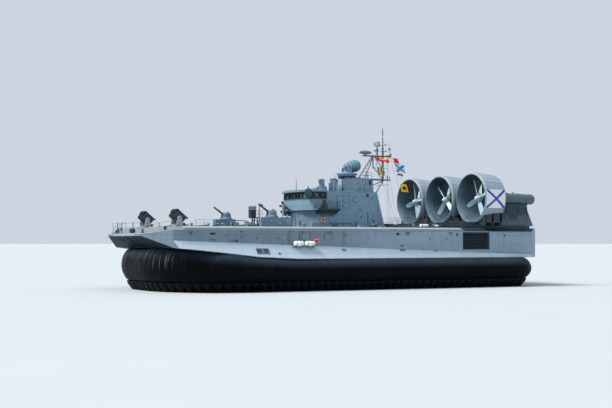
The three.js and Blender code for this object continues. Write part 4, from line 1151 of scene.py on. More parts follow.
def side_fittings():
    """Vents, outlets, portholes, strakes and rungs on the hull's sides."""
    frames, backs = louvres([(x, 4.88, 0.72, 0.78) for x in (15.5, 14.6)], 6, on_sponson)
    fit("sponson_vent_frames", both(frames), fitting_paint)
    fit("sponson_vent_backs", both(backs), black_and_shade)

    # Low vents along the sponson and vents in the upright side, as [x, z, width, height]
    low = [(3.6, 5.0, 0.5, 0.16), (-5.2, 4.95, 0.7, 0.2), (12.9, 4.6, 0.2, 0.2), (-10.4, 4.9, 0.5, 0.2)]
    upright = [
        (9.1, 7.2, 0.42, 0.3), (5.6, 7.2, 0.42, 0.3), (-6.1, 7.15, 0.5, 0.34), (-12.8, 7.2, 0.4, 0.26),
        (24.0, 6.95, 0.3, 0.2), (18.7, 6.1, 0.4, 0.14), (21.4, 6.15, 0.5, 0.1),
    ]
    frames, backs = louvres(low, 2, on_sponson)
    more, more_backs = louvres(upright, 3, on_side)
    fit("side_vent_frames", both(frames + more), fitting_paint)
    fit("side_vent_backs", both(backs + more_backs), black_and_shade)

    # Dark plates as painted shade in the scuppers, fairleads and outlets in the side, as [x, z, width,
    # height]
    marks = [
        panelled(
            (x - wide / 2, 10.47, z - high / 2), (x + wide / 2, 10.55, z + high / 2), PORT, 0.04, -0.02,
        )
        for x, z, wide, high in [
            (24.0, 7.0, 0.36, 0.4), (21.25, 7.0, 0.6, 0.24), (21.2, 6.25, 0.6, 0.12),
            (18.5, 6.15, 0.26, 0.26), (18.1, 6.15, 0.26, 0.26), (17.5, 7.25, 0.22, 0.16),
            (9.2, 7.22, 0.36, 0.26), (5.4, 7.22, 0.36, 0.26), (-4.6, 7.05, 0.42, 0.28),
            (-13.9, 7.0, 0.3, 0.25), (-21.7, 6.9, 0.22, 0.22), (-5.2, 5.5, 0.4, 0.16),
        ]
    ]
    fit("side_outlets", both(marks), black_and_shade)

    # Portholes with a rim and a deadlight, as [x, z, radius]
    rims, lights = [], []
    for x, z, r in [
        (21.3, 6.95, 0.13), (19.5, 6.72, 0.1), (17.4, 6.65, 0.1), (15.5, 6.5, 0.11), (12.6, 6.45, 0.11),
        (11.3, 6.4, 0.1), (3.1, 6.9, 0.08), (-0.2, 6.5, 0.08), (-9.5, 6.4, 0.1), (-12.2, 6.4, 0.1),
    ]:
        rims.append(hoop((x, 10.52, z), PORT, r, 0.03, 16, 6))
        lights.append(turned([[r, 0], [r * 0.8, 0.015], [0.001, 0.03]], (x, SIDE_Y, z), PORT, 16))
    fit("porthole_rims", both(rims), fitting_paint)
    fit("porthole_lights", both(lights), bridge_glass, smooth=60)

    # Rubbing strake under the deck edge, a bead on the crease and a spray strip along the sponson's foot
    strake = block((-26.3, SIDE_Y, 7.36), (25.9, 10.56, 7.44), 0.02)
    ends = [(x, 3.96) for x in (-25.3, -8, 2, 10.4)] + [
        (x, z + 0.02) for x, z in UNDERSIDE[1:4]
    ] + [(25.0, 5.2)]
    foot = [[(x, min(sponson_y(x, z) - 0.04, 12.02), z) for x, z in ends]]
    bead = pipes([[(-26.3, SIDE_Y, crease_z(-26.3)), (26.1, SIDE_Y, crease_z(26.1))]], 0.03)
    strip = pipes(foot, 0.05)
    fit("side_strakes", both([strake, bead, strip]), fitting_paint)

    # Ladder rungs, pipe drops and hand grips round the rafts
    runs = []
    for x in (11.1, 3.4):
        runs += [
            [(x - 0.2, SIDE_Y, z), (x - 0.2, 10.58, z), (x + 0.2, 10.58, z), (x + 0.2, SIDE_Y, z)]
            for z in [5.9 + 0.28 * k for k in range(6)]
        ]
    for x, top in [(9.7, 7.3), (9.35, 7.3), (8.2, 7.3), (6.2, 7.2), (5.1, 7.2)]:
        runs.append([(x, 10.54, top), (x, 10.54, 6.3)])
    fit("side_rungs", both([pipes(runs, 0.022)]), machinery)


RAFT_Y, RAFT_Z = 10.98, 5.8


def raft(aft, fore):
    """A life raft canister: a moulded shell with domed ends, ribs, a joint line and lashing straps."""
    middle = (aft + fore) / 2
    half = (fore - aft) / 2
    shell = turned(
        [
            [0.12, -half], [0.24, -half + 0.03], [0.31, -half + 0.1], [0.335, -half + 0.2], [0.335, -0.36],
            [0.318, -0.34], [0.318, -0.24], [0.335, -0.22], [0.335, 0.22], [0.318, 0.24], [0.318, 0.34],
            [0.335, 0.36], [0.335, half - 0.2], [0.31, half - 0.1], [0.24, half - 0.03], [0.12, half],
        ],
        (middle, RAFT_Y, RAFT_Z), FORE, 28,
    )
    joint = block((aft + 0.06, RAFT_Y - 0.345, 5.785), (fore - 0.06, RAFT_Y + 0.345, 5.815), 0.01)
    straps = [hoop((middle + x, RAFT_Y, RAFT_Z), FORE, 0.332, 0.014, 28, 6) for x in (-0.29, 0.29)]
    return [shell, joint], straps


def rafts():
    shells, straps = [], []
    for aft, fore in [(7.85, 9.15), (9.4, 10.7)]:
        body, lashings = raft(aft, fore)
        shells += body
        straps += lashings
    cradle = []
    for x in (8.05, 8.95, 9.6, 10.5):
        cradle.append(block((x - 0.05, 10.52, 5.36), (x + 0.05, 11.25, 5.46), 0.015))
        cradle.append(block((x - 0.05, 10.52, 5.4), (x + 0.05, 10.62, 6.2), 0.015))
    runs = [[(7.75, 10.6, 5.42), (10.8, 10.6, 5.42)], [(7.75, 11.2, 5.42), (10.8, 11.2, 5.42)],
            [(7.75, 10.6, 5.42), (7.75, 11.2, 5.42)], [(10.8, 10.6, 5.42), (10.8, 11.2, 5.42)]]
    runs += [[(x, RAFT_Y + 0.36 * math.cos(t), RAFT_Z + 0.36 * math.sin(t)) for t in
              [math.radians(200 + 20 * k) for k in range(8)]] for x in (8.05, 8.95, 9.6, 10.5)]
    cradle.append(pipes(runs, 0.03))
    for name, side in SIDES:
        flip = again if side > 0 else mirrored
        shell = fit(f"raft_canisters_{name}", flip(shells), canister_white, smooth=40)
        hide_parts(f"rafts_{name}")
        fit(f"raft_straps_{name}", flip(straps), black_steel)
        fit(f"raft_cradles_{name}", flip(cradle), machinery)
    for piece in [*shells, *straps, *cradle]:
        bpy.data.objects.remove(piece)


def life_buoy(at, axis):
    """A life buoy: a ring with white bands and a grab line."""
    ring = hoop(at, axis, 0.29, 0.085, 36, 12)
    turn = Vector(axis).to_track_quat("Z", "Y").to_matrix()
    bands = []
    for quarter in range(4):
        t = math.radians(45 + 90 * quarter)
        spot = Vector(at) + turn @ Vector((0.29 * math.cos(t), 0.29 * math.sin(t), 0))
        run = turn @ Vector((-math.sin(t), math.cos(t), 0))
        bands.append(
            turned([[0.086, -0.05], [0.091, -0.045], [0.091, 0.045], [0.086, 0.05]], spot, run, 14)
        )
    line = pipes([[Vector(at) + turn @ Vector(((0.385 - 0.03 * abs(math.sin(2 * t))) * math.cos(t),
                                               (0.385 - 0.03 * abs(math.sin(2 * t))) * math.sin(t), 0.02))
                   for t in [math.radians(10 * k) for k in range(37)]]], 0.012)
    return ring, bands, line


def life_buoys():
    rings, bands, lines, brackets = [], [], [], []
    for at, axis in [((7.35, 10.62, 6.12), PORT), ((3.0, 4.27, 8.9), (0, 1, -0.05))]:
        ring, band, line = life_buoy(at, axis)
        rings.append(ring)
        bands += band
        lines.append(line)
        x, y, z = at
        brackets.append(block((x - 0.2, y - 0.14, z - 0.42), (x + 0.2, y + 0.06, z - 0.36), 0.01))
    fit("buoy_rings", both(rings), buoy_orange, smooth=60)
    fit("buoy_bands", both(bands), panel_white)
    fit("buoy_lines", both(lines), rope_tan)
    fit("buoy_brackets", both(brackets), fitting_paint)


DUCT_WALL = [(-18.27, 3.5), (-18.53, 3.5), (-19.33, 3.42), (-21.6, 3.2)]


def duct_wall(x):
    """Outside radius of a duct at a place along it."""
    for (x0, r0), (x1, r1) in zip(DUCT_WALL, DUCT_WALL[1:]):
        if x >= x1:
            return r0 + (r1 - r0) * max(0.0, x0 - x) / (x0 - x1)
    return DUCT_WALL[-1][1]


def duct_panels():
    """The white boards with a blue diagonal cross, curved to the outer ducts' sides."""
    fore, aft, half, middle = -18.25, -21.5, 1.24, 11.84
    for name, side in SIDES:
        for part, material, lift in (("board", panel_white, 0.0), ("cross", panel_blue, 0.026)):
            pick()
            bpy.ops.mesh.primitive_grid_add(x_subdivisions=44, y_subdivisions=44, size=2)
            piece = bpy.context.object
            if part == "cross":
                bpy.ops.object.mode_set(mode="EDIT")
                bpy.ops.mesh.select_mode(type="FACE")
                bpy.ops.mesh.select_all(action="DESELECT")
                faces_where(piece, lambda place, normal: min(
                    abs(place.x - place.y), abs(place.x + place.y)) * SCALE > 0.17)
                bpy.ops.mesh.delete(type="FACE")
                bpy.ops.object.mode_set(mode="OBJECT")
            for vertex in piece.data.vertices:
                x = fore + (aft - fore) * (vertex.co.x + 1) / 2
                rise = half * vertex.co.y
                reach = duct_wall(x) + lift + 0.045
                out = math.sqrt(reach * reach - (rise + middle - FAN_Z) ** 2)
                vertex.co = Vector((x, side * (FAN_Y + out), middle + rise)) * SCALE
            pick(piece)
            bpy.ops.object.mode_set(mode="EDIT")
            bpy.ops.mesh.select_all(action="SELECT")
            bpy.ops.mesh.normals_make_consistent(inside=False)
            bpy.ops.object.mode_set(mode="OBJECT")
            if sum(polygon.normal.y for polygon in piece.data.polygons) * side < 0:
                piece.data.flip_normals()
            apply_modifier(piece, "SOLIDIFY", thickness=0.024 * SCALE, offset=-1)
            fit(f"duct_{part}_{name}", [piece], material, slot="raft_white", smooth=60)


side_fittings()
rafts()
life_buoys()
duct_panels()

# ---------------------------------------------------------------- bridge and deckhouse
HOUSE_LEAN = 0.25 / 4.8
AFT_LEAN = 0.228
ROOF_Z = 12.8


def house_y(z):
    """Distance of the deckhouse's side wall from the middle at a height."""
    return 4.2 - HOUSE_LEAN * (z - DECK)


def pane_frame(a, b, low=11.72, high=12.44, off=0.02):
    """A closed run round a window between two plan points, a little outside the wall."""
    a, b = Vector((*a, 0)), Vector((*b, 0))
    ahead = (b - a).normalized()
    out = Vector((ahead.y, -ahead.x, 0)) * off
    a, b = a + out, b + out
    corners = [(a.x, a.y, low), (b.x, b.y, low), (b.x, b.y, high), (a.x, a.y, high)]
    return [*corners, corners[0], corners[1]]


def bridge_windows():
    """Seals round the panes, wipers, the gutter over them and the sill below."""
    frames, wipers = [], []
    for i in range(5):
        y0 = -2.3 + 0.92 * i + 0.09
        y1 = y0 + 0.74
        frames.append(pane_frame((5.15, y0), (5.15, y1)))
        wipers += [[(5.17, (y0 + y1) / 2, 12.5), (5.2, (y0 + y1) / 2, 12.46), (5.19, y0 + 0.2, 11.98)],
                   [(5.195, y0 + 0.17, 12.28), (5.19, y0 + 0.23, 11.76)]]
    corner, nose = Vector((4.45, 4.25)), Vector((5.15, 2.3))
    ahead = (nose - corner).normalized()
    for start, end in [(0.16, 0.94), (1.1, (nose - corner).length - 0.16)]:
        for s in (1, -1):
            a, b = corner + ahead * start, corner + ahead * end
            pair = ((b.x, b.y * s), (a.x, a.y * s)) if s > 0 else ((a.x, a.y * s), (b.x, b.y * s))
            frames.append(pane_frame(*pair))
    for aft, fore in [(2.6, 3.2), (3.35, 4.25)]:
        frames.append(pane_frame((fore, 4.25), (aft, 4.25)))
        frames.append(pane_frame((aft, -4.25), (fore, -4.25)))
    fit("bridge_window_seals", [pipes(frames, 0.028)], black_and_shade)
    fit("bridge_wipers", [pipes(wipers, 0.012)], black_steel)
    line = [(2.42, 4.28), (4.47, 4.28), (5.18, 2.31), (5.18, -2.31), (4.47, -4.28), (2.42, -4.28)]
    wide = [(2.42, 4.53), (4.58, 4.53), (5.43, 2.4), (5.43, -2.4), (4.58, -4.53), (2.42, -4.53)]
    runs = [
        [(x, y, 11.6) for x, y in line], [(x, y, ROOF_Z) for x, y in wide],
        [(x, y, 12.62) for x, y in wide],
    ]
    fit("bridge_trim", [pipes(runs, 0.03)], house_paint)
    # A round window with a spinning clear-view screen
    ring = hoop((4.83, 3.24, 12.08), (0.94, 0.34, 0), 0.23, 0.035, 24, 8)
    hub = drum((4.8, 3.23, 12.08), (4.9, 3.265, 12.08), 0.05, sides=10, bevel=0.01)
    fit("clear_view_screen", both([ring, hub]), black_steel)


def bridge_roof_items():
    """Aerials, lamps, a hatch and a low rail on the bridge roof."""
    whip = drum((4.6, -0.25, ROOF_Z), (4.6, -0.25, 14.55), 0.05, 0.03, 8, 0)
    whips = [whip, drum((4.6, -0.25, ROOF_Z), (4.6, -0.25, 13.1), 0.09, 0.06, 12)]
    fit("bridge_aerials", whips, mast_paint)
    lamp_body = turned(
        [[0.1, 0], [0.2, 0.03], [0.22, 0.1], [0.22, 0.26], [0.2, 0.28]], (4.55, 3.0, 13.12), (1, 0.2, -0.1),
        20,
    )
    stalk = drum((4.65, 3.0, ROOF_Z), (4.65, 3.0, 12.95), 0.07, 0.05, 12)
    yoke = pipes(
        [[(4.65, 2.76, 13.15), (4.65, 2.76, 12.95), (4.65, 3.26, 12.95), (4.65, 3.26, 13.15)]], 0.025,
    )
    fit("searchlight_bridge", [lamp_body, stalk, yoke], fitting_paint)
    face = turned([[0.19, 0], [0.16, 0.02], [0.01, 0.035]], (4.82, 3.055, 13.09), (1, 0.2, -0.1), 20)
    fit("searchlight_glass", [face], lamp_white, smooth=60)
    dome = turned(
        [
            [0.02, -0.62], [0.34, -0.55], [0.46, -0.3], [0.48, 0.1], [0.46, 0.42], [0.36, 0.56],
            [0.16, 0.64], [0.01, 0.66],
        ],
        (4.98, 3.98, 12.36), UP, 26,
    )
    arms = [block((4.4, 3.7, z), (4.98, 3.9, z + 0.08), 0.01) for z in (12.64, 12.72)]
    collar = [
        hoop((4.98, 3.98, z), UP, r, 0.025, 26, 6)
        for z, r in ((12.06, 0.465), (12.46, 0.485), (12.78, 0.465))
    ]
    fit("corner_housing", [dome, *arms, *collar], casing_paint, smooth=50)
    hatch = panelled((3.1, -1.0, ROOF_Z), (3.9, -0.3, 12.92), UP, 0.08, 0.04)
    boxes = [
        hatch, panelled((2.6, 1.4, ROOF_Z), (3.1, 2.3, 13.12), FORE, 0.05, -0.02),
        panelled((3.5, 0.6, ROOF_Z), (3.8, 1.0, 13.0), UP, 0.04, -0.02),
        turned(
            [[0.24, 0], [0.24, 0.06], [0.2, 0.16], [0.1, 0.22], [0.01, 0.24]], (3.5, -2.4, ROOF_Z), UP, 20,
        ),
        drum((3.3, 3.4, ROOF_Z), (3.3, 3.4, 13.05), 0.06, 0.06, 12),
        turned(
            [[0.17, 0], [0.19, 0.03], [0.19, 0.09], [0.12, 0.17], [0.01, 0.2]], (3.3, 3.4, 13.05), UP, 18,
        ),
    ]
    fit("bridge_roof_boxes", boxes, house_paint)
    fit(
        "bridge_roof_rail",
        [
            pipes(
                railing([(4.3, 4.1, ROOF_Z), (2.5, 4.1, ROOF_Z)], 0.32, 0.9, (1.0,)) + railing(
                    [(2.5, -4.1, ROOF_Z), (4.3, -4.1, ROOF_Z)], 0.32, 0.9, (1.0,),
                ),
                0.02,
            )
        ],
        mast_paint,
    )


def door(x0, x1, low, high, at_y, lean=0.0):
    """A watertight door on a port wall: rim, raised leaf, wheel and dogs."""
    leaf = panelled((x0, at_y - 0.02, low), (x1, at_y + 0.07, high), PORT, 0.07, 0.02)
    rim = pipes([[(x0 - 0.04, at_y + 0.03, low - 0.04), (x1 + 0.04, at_y + 0.03, low - 0.04),
                  (x1 + 0.04, at_y + 0.03, high + 0.04), (x0 - 0.04, at_y + 0.03, high + 0.04),
                  (x0 - 0.04, at_y + 0.03, low - 0.04), (x1, at_y + 0.03, low - 0.04)]], 0.035)
    wheel = hoop(((x0 + x1) / 2, at_y + 0.14, (low + high) / 2), PORT, 0.1, 0.014, 16, 6)
    hub = drum(
        ((x0 + x1) / 2, at_y + 0.05, (low + high) / 2), ((x0 + x1) / 2, at_y + 0.15, (low + high) / 2),
        0.025, sides=8, bevel=0,
    )
    dogs = [block((x - 0.05, at_y + 0.05, z - 0.03), (x + 0.05, at_y + 0.11, z + 0.03), 0.01)
            for x in (x0 + 0.03, x1 - 0.03) for z in (low + 0.25, (low + high) / 2, high - 0.25)]
    pieces = [leaf, rim, wheel, hub, *dogs]
    for piece in pieces:
        for vertex in piece.data.vertices:
            vertex.co.y -= lean * (vertex.co.z - low * SCALE)
    return pieces


def house_side():
    """Doors, ports, vents, ladders and pipes on the deckhouse's sides and back."""
    fittings, grips, dark = [], [], []
    for x0, x1, low, high in [(-4.6, -3.9, 8.15, 9.95), (0.0, 0.7, 10.4, 12.1)]:
        fittings += door(x0, x1, low, high, house_y(low), HOUSE_LEAN)
    for x, z, r in [(-2.9, 9.3, 0.14), (1.3, 9.4, 0.12)]:
        y = house_y(z)
        fittings.append(hoop((x, y + 0.01, z), (0, 1, HOUSE_LEAN), r, 0.03, 20, 8))
        dark.append(turned([[r, 0], [r * 0.85, 0.014], [0.01, 0.02]], (x, y, z), (0, 1, HOUSE_LEAN), 20))
    ledge = block((-1.45, house_y(8.55) - 0.02, 8.5), (1.95, house_y(8.55) + 0.16, 8.58), 0.015)
    brackets = [
        block((x, house_y(8.4), 8.32), (x + 0.06, house_y(8.4) + 0.13, 8.5), 0.01)
        for x in (-1.3, -0.2, 0.8, 1.8)
    ]
    fittings += [ledge, *brackets]
    # Lockers and junction boxes as [x, z, width, height, depth]
    for x, z, wide, high, deep in [
        (-2.35, 11.35, 0.7, 0.5, 0.22), (-0.6, 10.6, 0.5, 0.4, 0.2), (-0.75, 11.35, 0.5, 0.28, 0.16),
        (-5.4, 8.3, 0.6, 0.7, 0.25), (-2.9, 8.15, 0.9, 0.55, 0.3), (2.1, 9.6, 0.3, 0.4, 0.14),
        (-4.9, 11.7, 0.34, 0.3, 0.14), (-3.0, 10.2, 0.3, 0.24, 0.12),
    ]:
        y = house_y(z)
        fittings.append(panelled((x, y - 0.04, z), (x + wide, y + deep, z + high), PORT, 0.04, -0.015))
    grips += [
        [
            (x - 0.2, house_y(z), z), (x - 0.2, house_y(z) + 0.1, z), (x + 0.2, house_y(z) + 0.1, z),
            (x + 0.2, house_y(z), z),
        ]
        for x, first, count in [(-5.55, 8.3, 14), (-1.15, 10.5, 8)]
        for z in [first + 0.3 * k for k in range(count)]
    ]
    grips += [[(x, house_y(z0) + 0.05, z0), (x, house_y(z1) + 0.05, z1)] for x, z0, z1 in
              [(-0.35, 10.35, 12.6), (-6.0, 8.0, 10.2)]]
    # Rain gutter along the roof edge
    gutter = [[(2.4, 3.97, 12.68), (-5.4, 3.97, 12.68)]]
    fit("house_fittings", both(fittings), house_paint)
    fit("house_ports", both(dark), bridge_glass, smooth=60)
    fit("house_rungs", both([pipes(grips, 0.02)]), fitting_paint)
    fit("house_gutters", both([pipes(gutter, 0.035)]), house_paint)
    # Vents on the aft wall, which leans forward
    def on_aft_wall(y, z):
        x = -6.54 + AFT_LEAN * (z - DECK)
        return axes_at((0, -1, 0), (0.2223, 0, 0.975), (-0.975, 0, 0.2223), (x, y, z))

    frames, backs = louvres(
        [(-2.2, 9.2, 1.0, 1.2), (2.2, 9.2, 1.0, 1.2), (0, 11.2, 1.6, 0.8)], 8, on_aft_wall,
    )
    aft_door = door(-0.35, 0.35, 8.1, 9.9, 0.0)
    for piece in aft_door:
        piece.data.transform(Matrix.Rotation(math.radians(90), 4, "Z"))
        piece.data.transform(Matrix.Translation(Vector((-6.5, 0, 0)) * SCALE))
        for vertex in piece.data.vertices:
            vertex.co.x += AFT_LEAN * (vertex.co.z - DECK * SCALE)
    fit("house_aft_vents", frames + aft_door, house_paint)
    fit("house_aft_vent_backs", backs, black_and_shade)


def front_wall():
    """Door, ports, lamps, loudspeakers and cables on the deckhouse's front."""
    door_front = door(-0.4, 0.4, 8.1, 9.95, 0.0)
    for piece in door_front:
        piece.data.transform(Matrix.Rotation(math.radians(-90), 4, "Z"))
        piece.data.transform(Matrix.Translation(Vector((4.74, -0.5, 0)) * SCALE))
    lockers = [
        panelled((4.7, y, z), (4.7 + deep, y + wide, z + high), FORE, 0.04, -0.015)
        for y, z, wide, high, deep in [
            (0.6, 8.0, 0.8, 0.9, 0.35), (0.5, 9.3, 0.3, 0.4, 0.15), (-1.5, 9.5, 0.25, 0.3, 0.12),
        ]
    ]
    lips = [hoop((4.77, 1.2, 9.7), FORE, 0.15, 0.03, 20, 8)]
    fit("front_fittings", door_front + lockers + lips, house_paint)
    light = turned([[0.15, 0], [0.12, 0.014], [0.01, 0.02]], (4.75, 1.2, 9.7), FORE, 20)
    fit("front_port", [light], bridge_glass, smooth=60)
    # A cluster of lamps, horns and a fire monitor on brackets off the front
    runs = [
        [(5.1, 2.9, 10.25), (5.75, 3.1, 10.3), (5.75, 3.1, 11.25)],
        [(4.6, 2.3, 9.6), (5.6, 2.6, 9.55), (5.75, 3.1, 10.3)], [(5.1, 1.7, 10.25), (5.9, 1.7, 10.45)],
        [(5.75, 3.1, 10.7), (5.9, 3.5, 10.8)],
    ]
    runs = [[(x, 1.1 - y, z) for x, y, z in run] for run in runs]
    runs += [
        [(5.75, -2.0, 9.6), (5.75, -1.1, 9.7), (4.7, -0.9, 9.9)],
        [(5.75, -2.0, 10.3), (5.75, -2.0, 9.2), (4.7, -2.0, 8.9)],
    ]
    cluster = [pipes(runs, 0.06)]
    heads = []
    horn = [[0.35, -0.2], [0.5, -0.16], [0.8, -0.05], [1, 0.08], [1.05, 0.16], [0.9, 0.16], [0.6, 0.05]]
    for at, axis, r in [
        ((5.75, 3.1, 11.3), (0.8, 0.5, -0.2), 0.19), ((5.85, 3.5, 10.85), (0.9, 0.3, 0), 0.16),
        ((5.75, 2.75, 10.95), (0.9, 0.3, 0.2), 0.2), ((5.9, 1.7, 10.55), (1, 0, -0.1), 0.18),
        ((5.6, 2.6, 9.7), (0.7, 0.6, -0.2), 0.15), ((5.8, 3.2, 10.05), (0.7, -0.6, 0), 0.17),
        ((5.75, 2.2, 9.75), (1, 0.4, 0.2), 0.16),
    ]:
        spot, way = (at[0], 1.1 - at[1], at[2]), (axis[0], -axis[1], axis[2])
        heads.append(turned([[r * wide, along] for wide, along in horn], spot, way, 18))
    fit("front_cluster", cluster + heads, machinery)
    body = [
        block((5.5, -1.9, 9.8), (5.95, -1.4, 10.7), 0.06),
        turned(
            [[0.2, 0], [0.24, 0.05], [0.24, 0.3], [0.16, 0.42], [0.02, 0.46]], (5.72, -1.65, 10.66), UP, 18,
        ),
        block((5.3, -1.2, 10.1), (5.7, -0.8, 10.5), 0.05),
    ]
    fit("front_cluster_boxes", body, fitting_paint, slot="dark_grey")


def wing_platforms():
    """Rails, fairings, edges, doors, fittings and side lamps of the bridge wings."""
    runs = railing([(0.8, 4.78, 10.32), (4.1, 4.78, 10.32)], 1.05, 1.1, (0.34, 0.67, 1.0))
    runs += railing([(0.8, 4.1, 10.32), (0.8, 4.78, 10.32)], 1.05, 0.7, (0.34, 0.67, 1.0))
    fit("wing_rails", both([pipes(runs, 0.024)]), mast_paint)
    plates = []
    for x, width, foot in ((0.95, 2.9, 9.55), (1.4, 2.0, 9.2), (0.85, 0.05, 9.7), (3.9, 0.05, 9.7)):
        wedge = block((x, 4.02, foot), (x + width, 4.8, 10.19), 0)
        for vertex in wedge.data.vertices:
            if vertex.co.y > 4.5 * SCALE and vertex.co.z < 9.9 * SCALE:
                vertex.co.z = 10.1 * SCALE
        plates.append(soften(wedge, 0.01, 1))
    fit("wing_fairing", both(plates), wing_paint)
    # The platform's edge, and a dark plate under the platform as painted shadow.
    plates = [
        block((0.74, 4.84, 10.16), (4.12, 4.9, 10.36), 0.015),
        block((0.7, 4.05, 10.12), (4.0, 4.82, 10.19), 0.01),
    ]
    fit("wing_edges", both(plates), machinery)
    screen = [panelled((2.5, 4.262, 10.36), (3.05, 4.3, 11.62), PORT, 0.05, -0.02)]
    fit("wing_doors", both(screen), machinery)
    chest = [
        panelled((3.35, 4.32, 10.33), (3.95, 4.7, 10.85), PORT, 0.04, 0.015),
        drum((1.5, 4.55, 10.32), (1.5, 4.55, 11.3), 0.05, 0.05, 12),
        turned(
            [[0.12, 0], [0.15, 0.04], [0.15, 0.22], [0.08, 0.28]], (1.5, 4.55, 11.25), (0.2, 0.9, 0.1), 16,
        ),
        panelled((1.9, 4.13, 10.33), (2.35, 4.5, 11.1), PORT, 0.04, -0.02),
    ]
    fit("wing_fittings", both(chest), fitting_paint)
    lamps = {"port": lamp_red, "starboard": lamp_green}
    for side, s in SIDES:
        box = block((3.3, s * 4.86 - 0.12, 10.5), (3.7, s * 4.86 + 0.12, 10.8), 0.03)
        fit(f"side_lamp_box_{side}", [box], black_steel)
        glass = turned(
            [[0.07, 0], [0.08, 0.05], [0.05, 0.11], [0.01, 0.12]], (3.68, s * 4.9, 10.65), FORE, 14,
        )
        fit(f"side_lamp_{side}", [glass], lamps[side], slot="window", smooth=60)


# ---------------------------------------------------------------- tower, radars and mast
TOWER_Z = 14.58
PLATFORM_X = -3.05
RADOME_AT = (-3.75, 0, 16.33)
SEARCH_X, SEARCH_Z = -7.9, 19.575
SCANNER_Z = 18.35
MAST_X, YARD_Z = -8.8, 17.9


def tower_items():
    """Ledges, boxes, a lamp, ladders and rails on the tower and round the vents."""
    wall = lambda z: 3.15 - 0.1 * (z - 12.7) / 1.88
    fittings = [
        panelled((x, wall(z) - 0.03, z), (x + wide, wall(z) + deep, z + high), PORT, 0.03, -0.012)
        for x, z, wide, high, deep in [
            (-3.3, 13.9, 0.5, 0.22, 0.14), (-3.6, 13.25, 0.34, 0.24, 0.1), (-2.9, 12.95, 0.3, 0.5, 0.12),
            (-4.6, 13.0, 0.6, 0.8, 0.1),
        ]
    ]
    fittings += [
        block((-3.35, wall(13.2), 13.14), (-2.75, wall(13.2) + 0.1, 13.18), 0.01),
        turned([[0.16, 0], [0.18, 0.05], [0.12, 0.15], [0.02, 0.2]], (-4.35, 0.0, TOWER_Z), UP, 16),
    ]
    post = drum((-5.15, 2.0, TOWER_Z), (-5.15, 2.0, 15.0), 0.07, 0.05, 10)
    knob = turned([[0.09, 0], [0.13, 0.06], [0.13, 0.16], [0.08, 0.22]], (-5.15, 2.0, 14.95), UP, 14)
    fit("tower_fittings", both(fittings) + [post, knob], house_paint)
    dark = [panelled((-5.0, wall(13.9), 13.7), (-4.75, wall(13.9) + 0.2, 14.35), PORT, 0.03, -0.03)]
    dark += [
        turned([[0.1, 0], [0.18, 0.05], [0.2, 0.2], [0.17, 0.3]], (-4.0, 3.9, 12.25), (0.5, 0.8, 0), 16),
        drum((-4.0, 3.7, 12.25), (-4.0, 4.0, 12.25), 0.05, sides=10, bevel=0),
    ]
    fit("tower_dark_fittings", both(dark), machinery)
    grips = [[(-5.48, -0.2, 12.9 + 0.28 * k), (-5.48, 0.2, 12.9 + 0.28 * k)] for k in range(6)]
    grips += [[(-5.48, y, 12.8), (-5.48, y, 14.7), (-5.3, y, 14.7)] for y in (-0.2, 0.2)]
    rails = railing([(-2.75, 2.95, TOWER_Z), (-5.2, 2.95, TOWER_Z)], 0.8, 1.2)
    rails += railing([(-5.25, 2.9, TOWER_Z), (-5.25, 1.2, TOWER_Z)], 0.8, 0.9)
    fit("tower_ladder", [pipes(grips, 0.018)], fitting_paint)
    fit("tower_rails", both([pipes(rails, 0.014)]), mast_paint)
    collars = [hoop((x, y, z), UP, r, 0.03, 24, 8) for x, y, r, tops in [(-0.91, -0.33, 0.27, (13.2, 14.0)),
               (-0.91, 0.33, 0.27, (13.2, 14.0)), (-0.38, 0, 0.16, (13.2, 13.7))] for z in tops]
    fit("vent_collars", collars, house_paint)
    # Dark discs in the vents' mouths and a dark slot, as painted shade inside them.
    mouths = [
        turned([[0.22, 0], [0.19, -0.05], [0.01, -0.06]], (x, y, 14.645), UP, 20)
        for x, y in [(-0.91, -0.33), (-0.91, 0.33)]
    ]
    mouths.append(block((-1.24, 0.2, 14.1), (-1.16, 0.46, 14.4), 0.01))
    fit("vent_mouths", mouths, black_and_shade)


def director_items():
    """Lens rings, a hood and boxes on the gun director, which turn with it."""
    rings = [hoop((1.27, y, 14.12), FORE, 0.105, 0.02, 20, 8) for y in (-0.14, 0.14)]
    hood = block((1.0, -0.32, 14.4), (1.32, 0.32, 14.46), 0.02)
    side = [
        panelled((0.68, s * 0.37 - 0.07, 13.75), (1.02, s * 0.37 + 0.07, 14.25), (0, s, 0), 0.04, -0.015)
        for s in (1, -1)
    ]
    ribs = [block((0.6, -0.31, z), (1.12, 0.31, z + 0.04), 0.01) for z in (13.62, 13.95, 14.3)]
    fit("director_trim", [*rings, hood, *side, *ribs], house_paint, body="director_head")
    glass = [
        turned([[0.085, 0], [0.07, 0.015], [0.01, 0.02]], (1.268, y, 14.12), FORE, 18)
        for y in (-0.14, 0.14)
    ]
    glass.append(turned([[0.09, 0], [0.08, 0.03], [0.01, 0.04]], (1.11, 0.0, 13.78), FORE, 18))
    fit("director_glass", glass, bridge_glass, body="director_head", smooth=60)
    heads = bolts(0.85, 0, 0.83, 12.8, 12.9, 0.03, 12)
    rib = [hoop((0.85, 0, z), UP, r, 0.022, 28, 6) for z, r in [(13.1, 0.73), (13.48, 0.64)]]
    fit("director_base_trim", heads + rib, house_paint)


